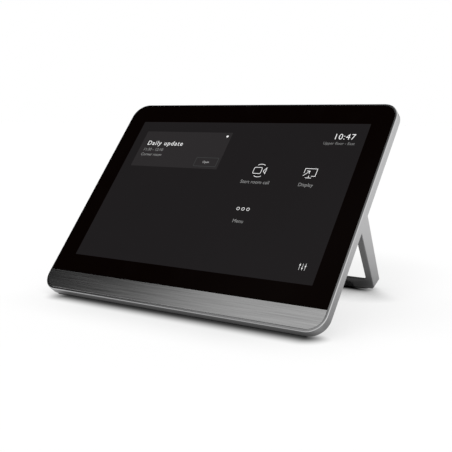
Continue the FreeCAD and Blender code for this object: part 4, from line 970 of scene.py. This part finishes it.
def add_floor(ground):
    """A flat floor whose white is part plain light and part light from the lamps, so that it keeps their
    shadow. A soft painted shade lies along the slab's lower edge and by the stand, and painted shade makes
    the floor behind the slab a little dimmer. Mirrored rays find the floor painted darker near the slab, and
    less white in front of it."""
    half = ground.side / 2
    mesh = bpy.data.meshes.new("floor")
    corners = [(-half, -half, 0.0), (half, -half, 0.0), (half, half, 0.0), (-half, half, 0.0)]
    mesh.from_pydata(corners, [], [(0, 1, 2, 3)])
    finish = Finish("studio_floor")
    root, place = finish.root, finish.place
    across, along = place.part(0), place.part(1)
    # Painted shade: the floor behind the slab is a little dimmer, and with the painted shadow by the slab's
    # edge and the painted shade by the stand it darkens both the lamps' share and the plain light
    rear = distance_on(place, ground.rear_place).rise(ground.rear_start, ground.rear_end)
    painted_shade = root.maths("MINIMUM", painted_edge_shadow(root, ground, across, along),
                        painted_foot_shade(root, ground, across, along))
    clear = painted_shade * (1 - ground.rear_share * (1 - rear))
    pale = clear.blend((0.0, 0.0, 0.0), (ground.shadow_share,) * CHANNELS)
    diffuse = root.node("ShaderNodeBsdfDiffuse", None, {"Color": pale})
    seen, mirrored, through = ray_kinds(root)
    # Painted shade that only mirrored rays see: the floor is darker to them near the slab and less white in
    # front of it, over a low painted level
    behind = along.rise(ground.mirror_from, ground.mirror_to)
    far = distance_on(place, ground.mirror_place).rise(0.0, ground.mirror_reach)
    dim = ground.mirror_front * (1 - behind) + behind * far
    base = ground.mirror_base * mirrored * (1 - ground.mirror_loss * behind)
    strength = (seen + through + mirrored * dim) * clear * (ground.white - ground.shadow_share) + base
    glow = root.node("ShaderNodeEmission", None, {"Strength": strength})
    both = root.node("ShaderNodeAddShader", None, {0: diffuse, 1: glow})
    root.node("ShaderNodeOutputMaterial", None, {"Surface": both})
    mesh.materials.append(finish.material)
    floor = bpy.data.objects.new("floor", mesh)
    bpy.context.scene.collection.objects.link(floor)


def light_world(scene, studio):
    """White for the camera, even light for the surfaces, and for mirrored rays white with a dark left side.
    A direction's side is its part to the right, plus more of its part to the front. The light rises
    smoothly with it from dark to white, with a dimmer gap where the white starts."""
    world = bpy.data.worlds.new("studio")
    world.use_nodes = True
    world.node_tree.nodes.clear()
    root = Wire(world.node_tree)
    way = root.node("ShaderNodeTexCoord", output=0)
    side = way.part(0) + studio.front_pull * root.maths("MAXIMUM", -1.0 * way.part(1), 0.0)
    start, full, ebb, end = studio.gap_span
    gap = side.rise(start, full) * (1 - side.rise(ebb, end))
    white = side.rise(studio.dark_side, studio.white_side) * (1 - studio.gap_share * gap)
    seen, mirrored, through = ray_kinds(root)
    plain = 1 - seen - mirrored - through
    strength = seen + through + mirrored * white + plain * (1.0 - studio.lamp_share)
    light = root.node("ShaderNodeBackground", None, {"Color": (1.0, 1.0, 1.0, 1.0), "Strength": strength})
    root.node("ShaderNodeOutputWorld", None, {"Surface": light})
    scene.world = world


class CONSOLE_PT_dressing(Panel):
    """Lists the steps that dress the console"""

    bl_label = "Touch console"
    bl_idname = "CONSOLE_PT_dressing"
    bl_space_type = "VIEW_3D"
    bl_region_type = "UI"
    bl_category = "Console"

    def draw(self, context):
        for step in STEPS:
            self.layout.operator(step.bl_idname)


GROUPS = {
    "console_screen": ScreenSizes,
    "console_card": CardSizes,
    "console_clock": ClockSizes,
    "console_tiles": TileSizes,
    "console_colours": FinishColours,
    "console_studio": StudioSizes,
    "console_ground": GroundSizes,
}
STEPS = (CONSOLE_OT_metal, CONSOLE_OT_display, CONSOLE_OT_shell, CONSOLE_OT_rubber, CONSOLE_OT_steel,
         CONSOLE_OT_electronics, CONSOLE_OT_picture, CONSOLE_OT_card, CONSOLE_OT_clock, CONSOLE_OT_tiles,
         CONSOLE_OT_studio)


def register():
    for name, group in GROUPS.items():
        bpy.utils.register_class(group)
        setattr(bpy.types.Scene, name, PointerProperty(type=group))
    for step in (*STEPS, CONSOLE_PT_dressing):
        bpy.utils.register_class(step)


def unregister():
    for step in (CONSOLE_PT_dressing, *reversed(STEPS)):
        bpy.utils.unregister_class(step)
    for name, group in reversed(GROUPS.items()):
        delattr(bpy.types.Scene, name)
        bpy.utils.unregister_class(group)


def main():
    register()
    for step in STEPS:
        group, name = step.bl_idname.split(".")
        getattr(getattr(bpy.ops, group), name)()
    bpy.context.view_layer.update()


if __name__ == "__main__":
    main()
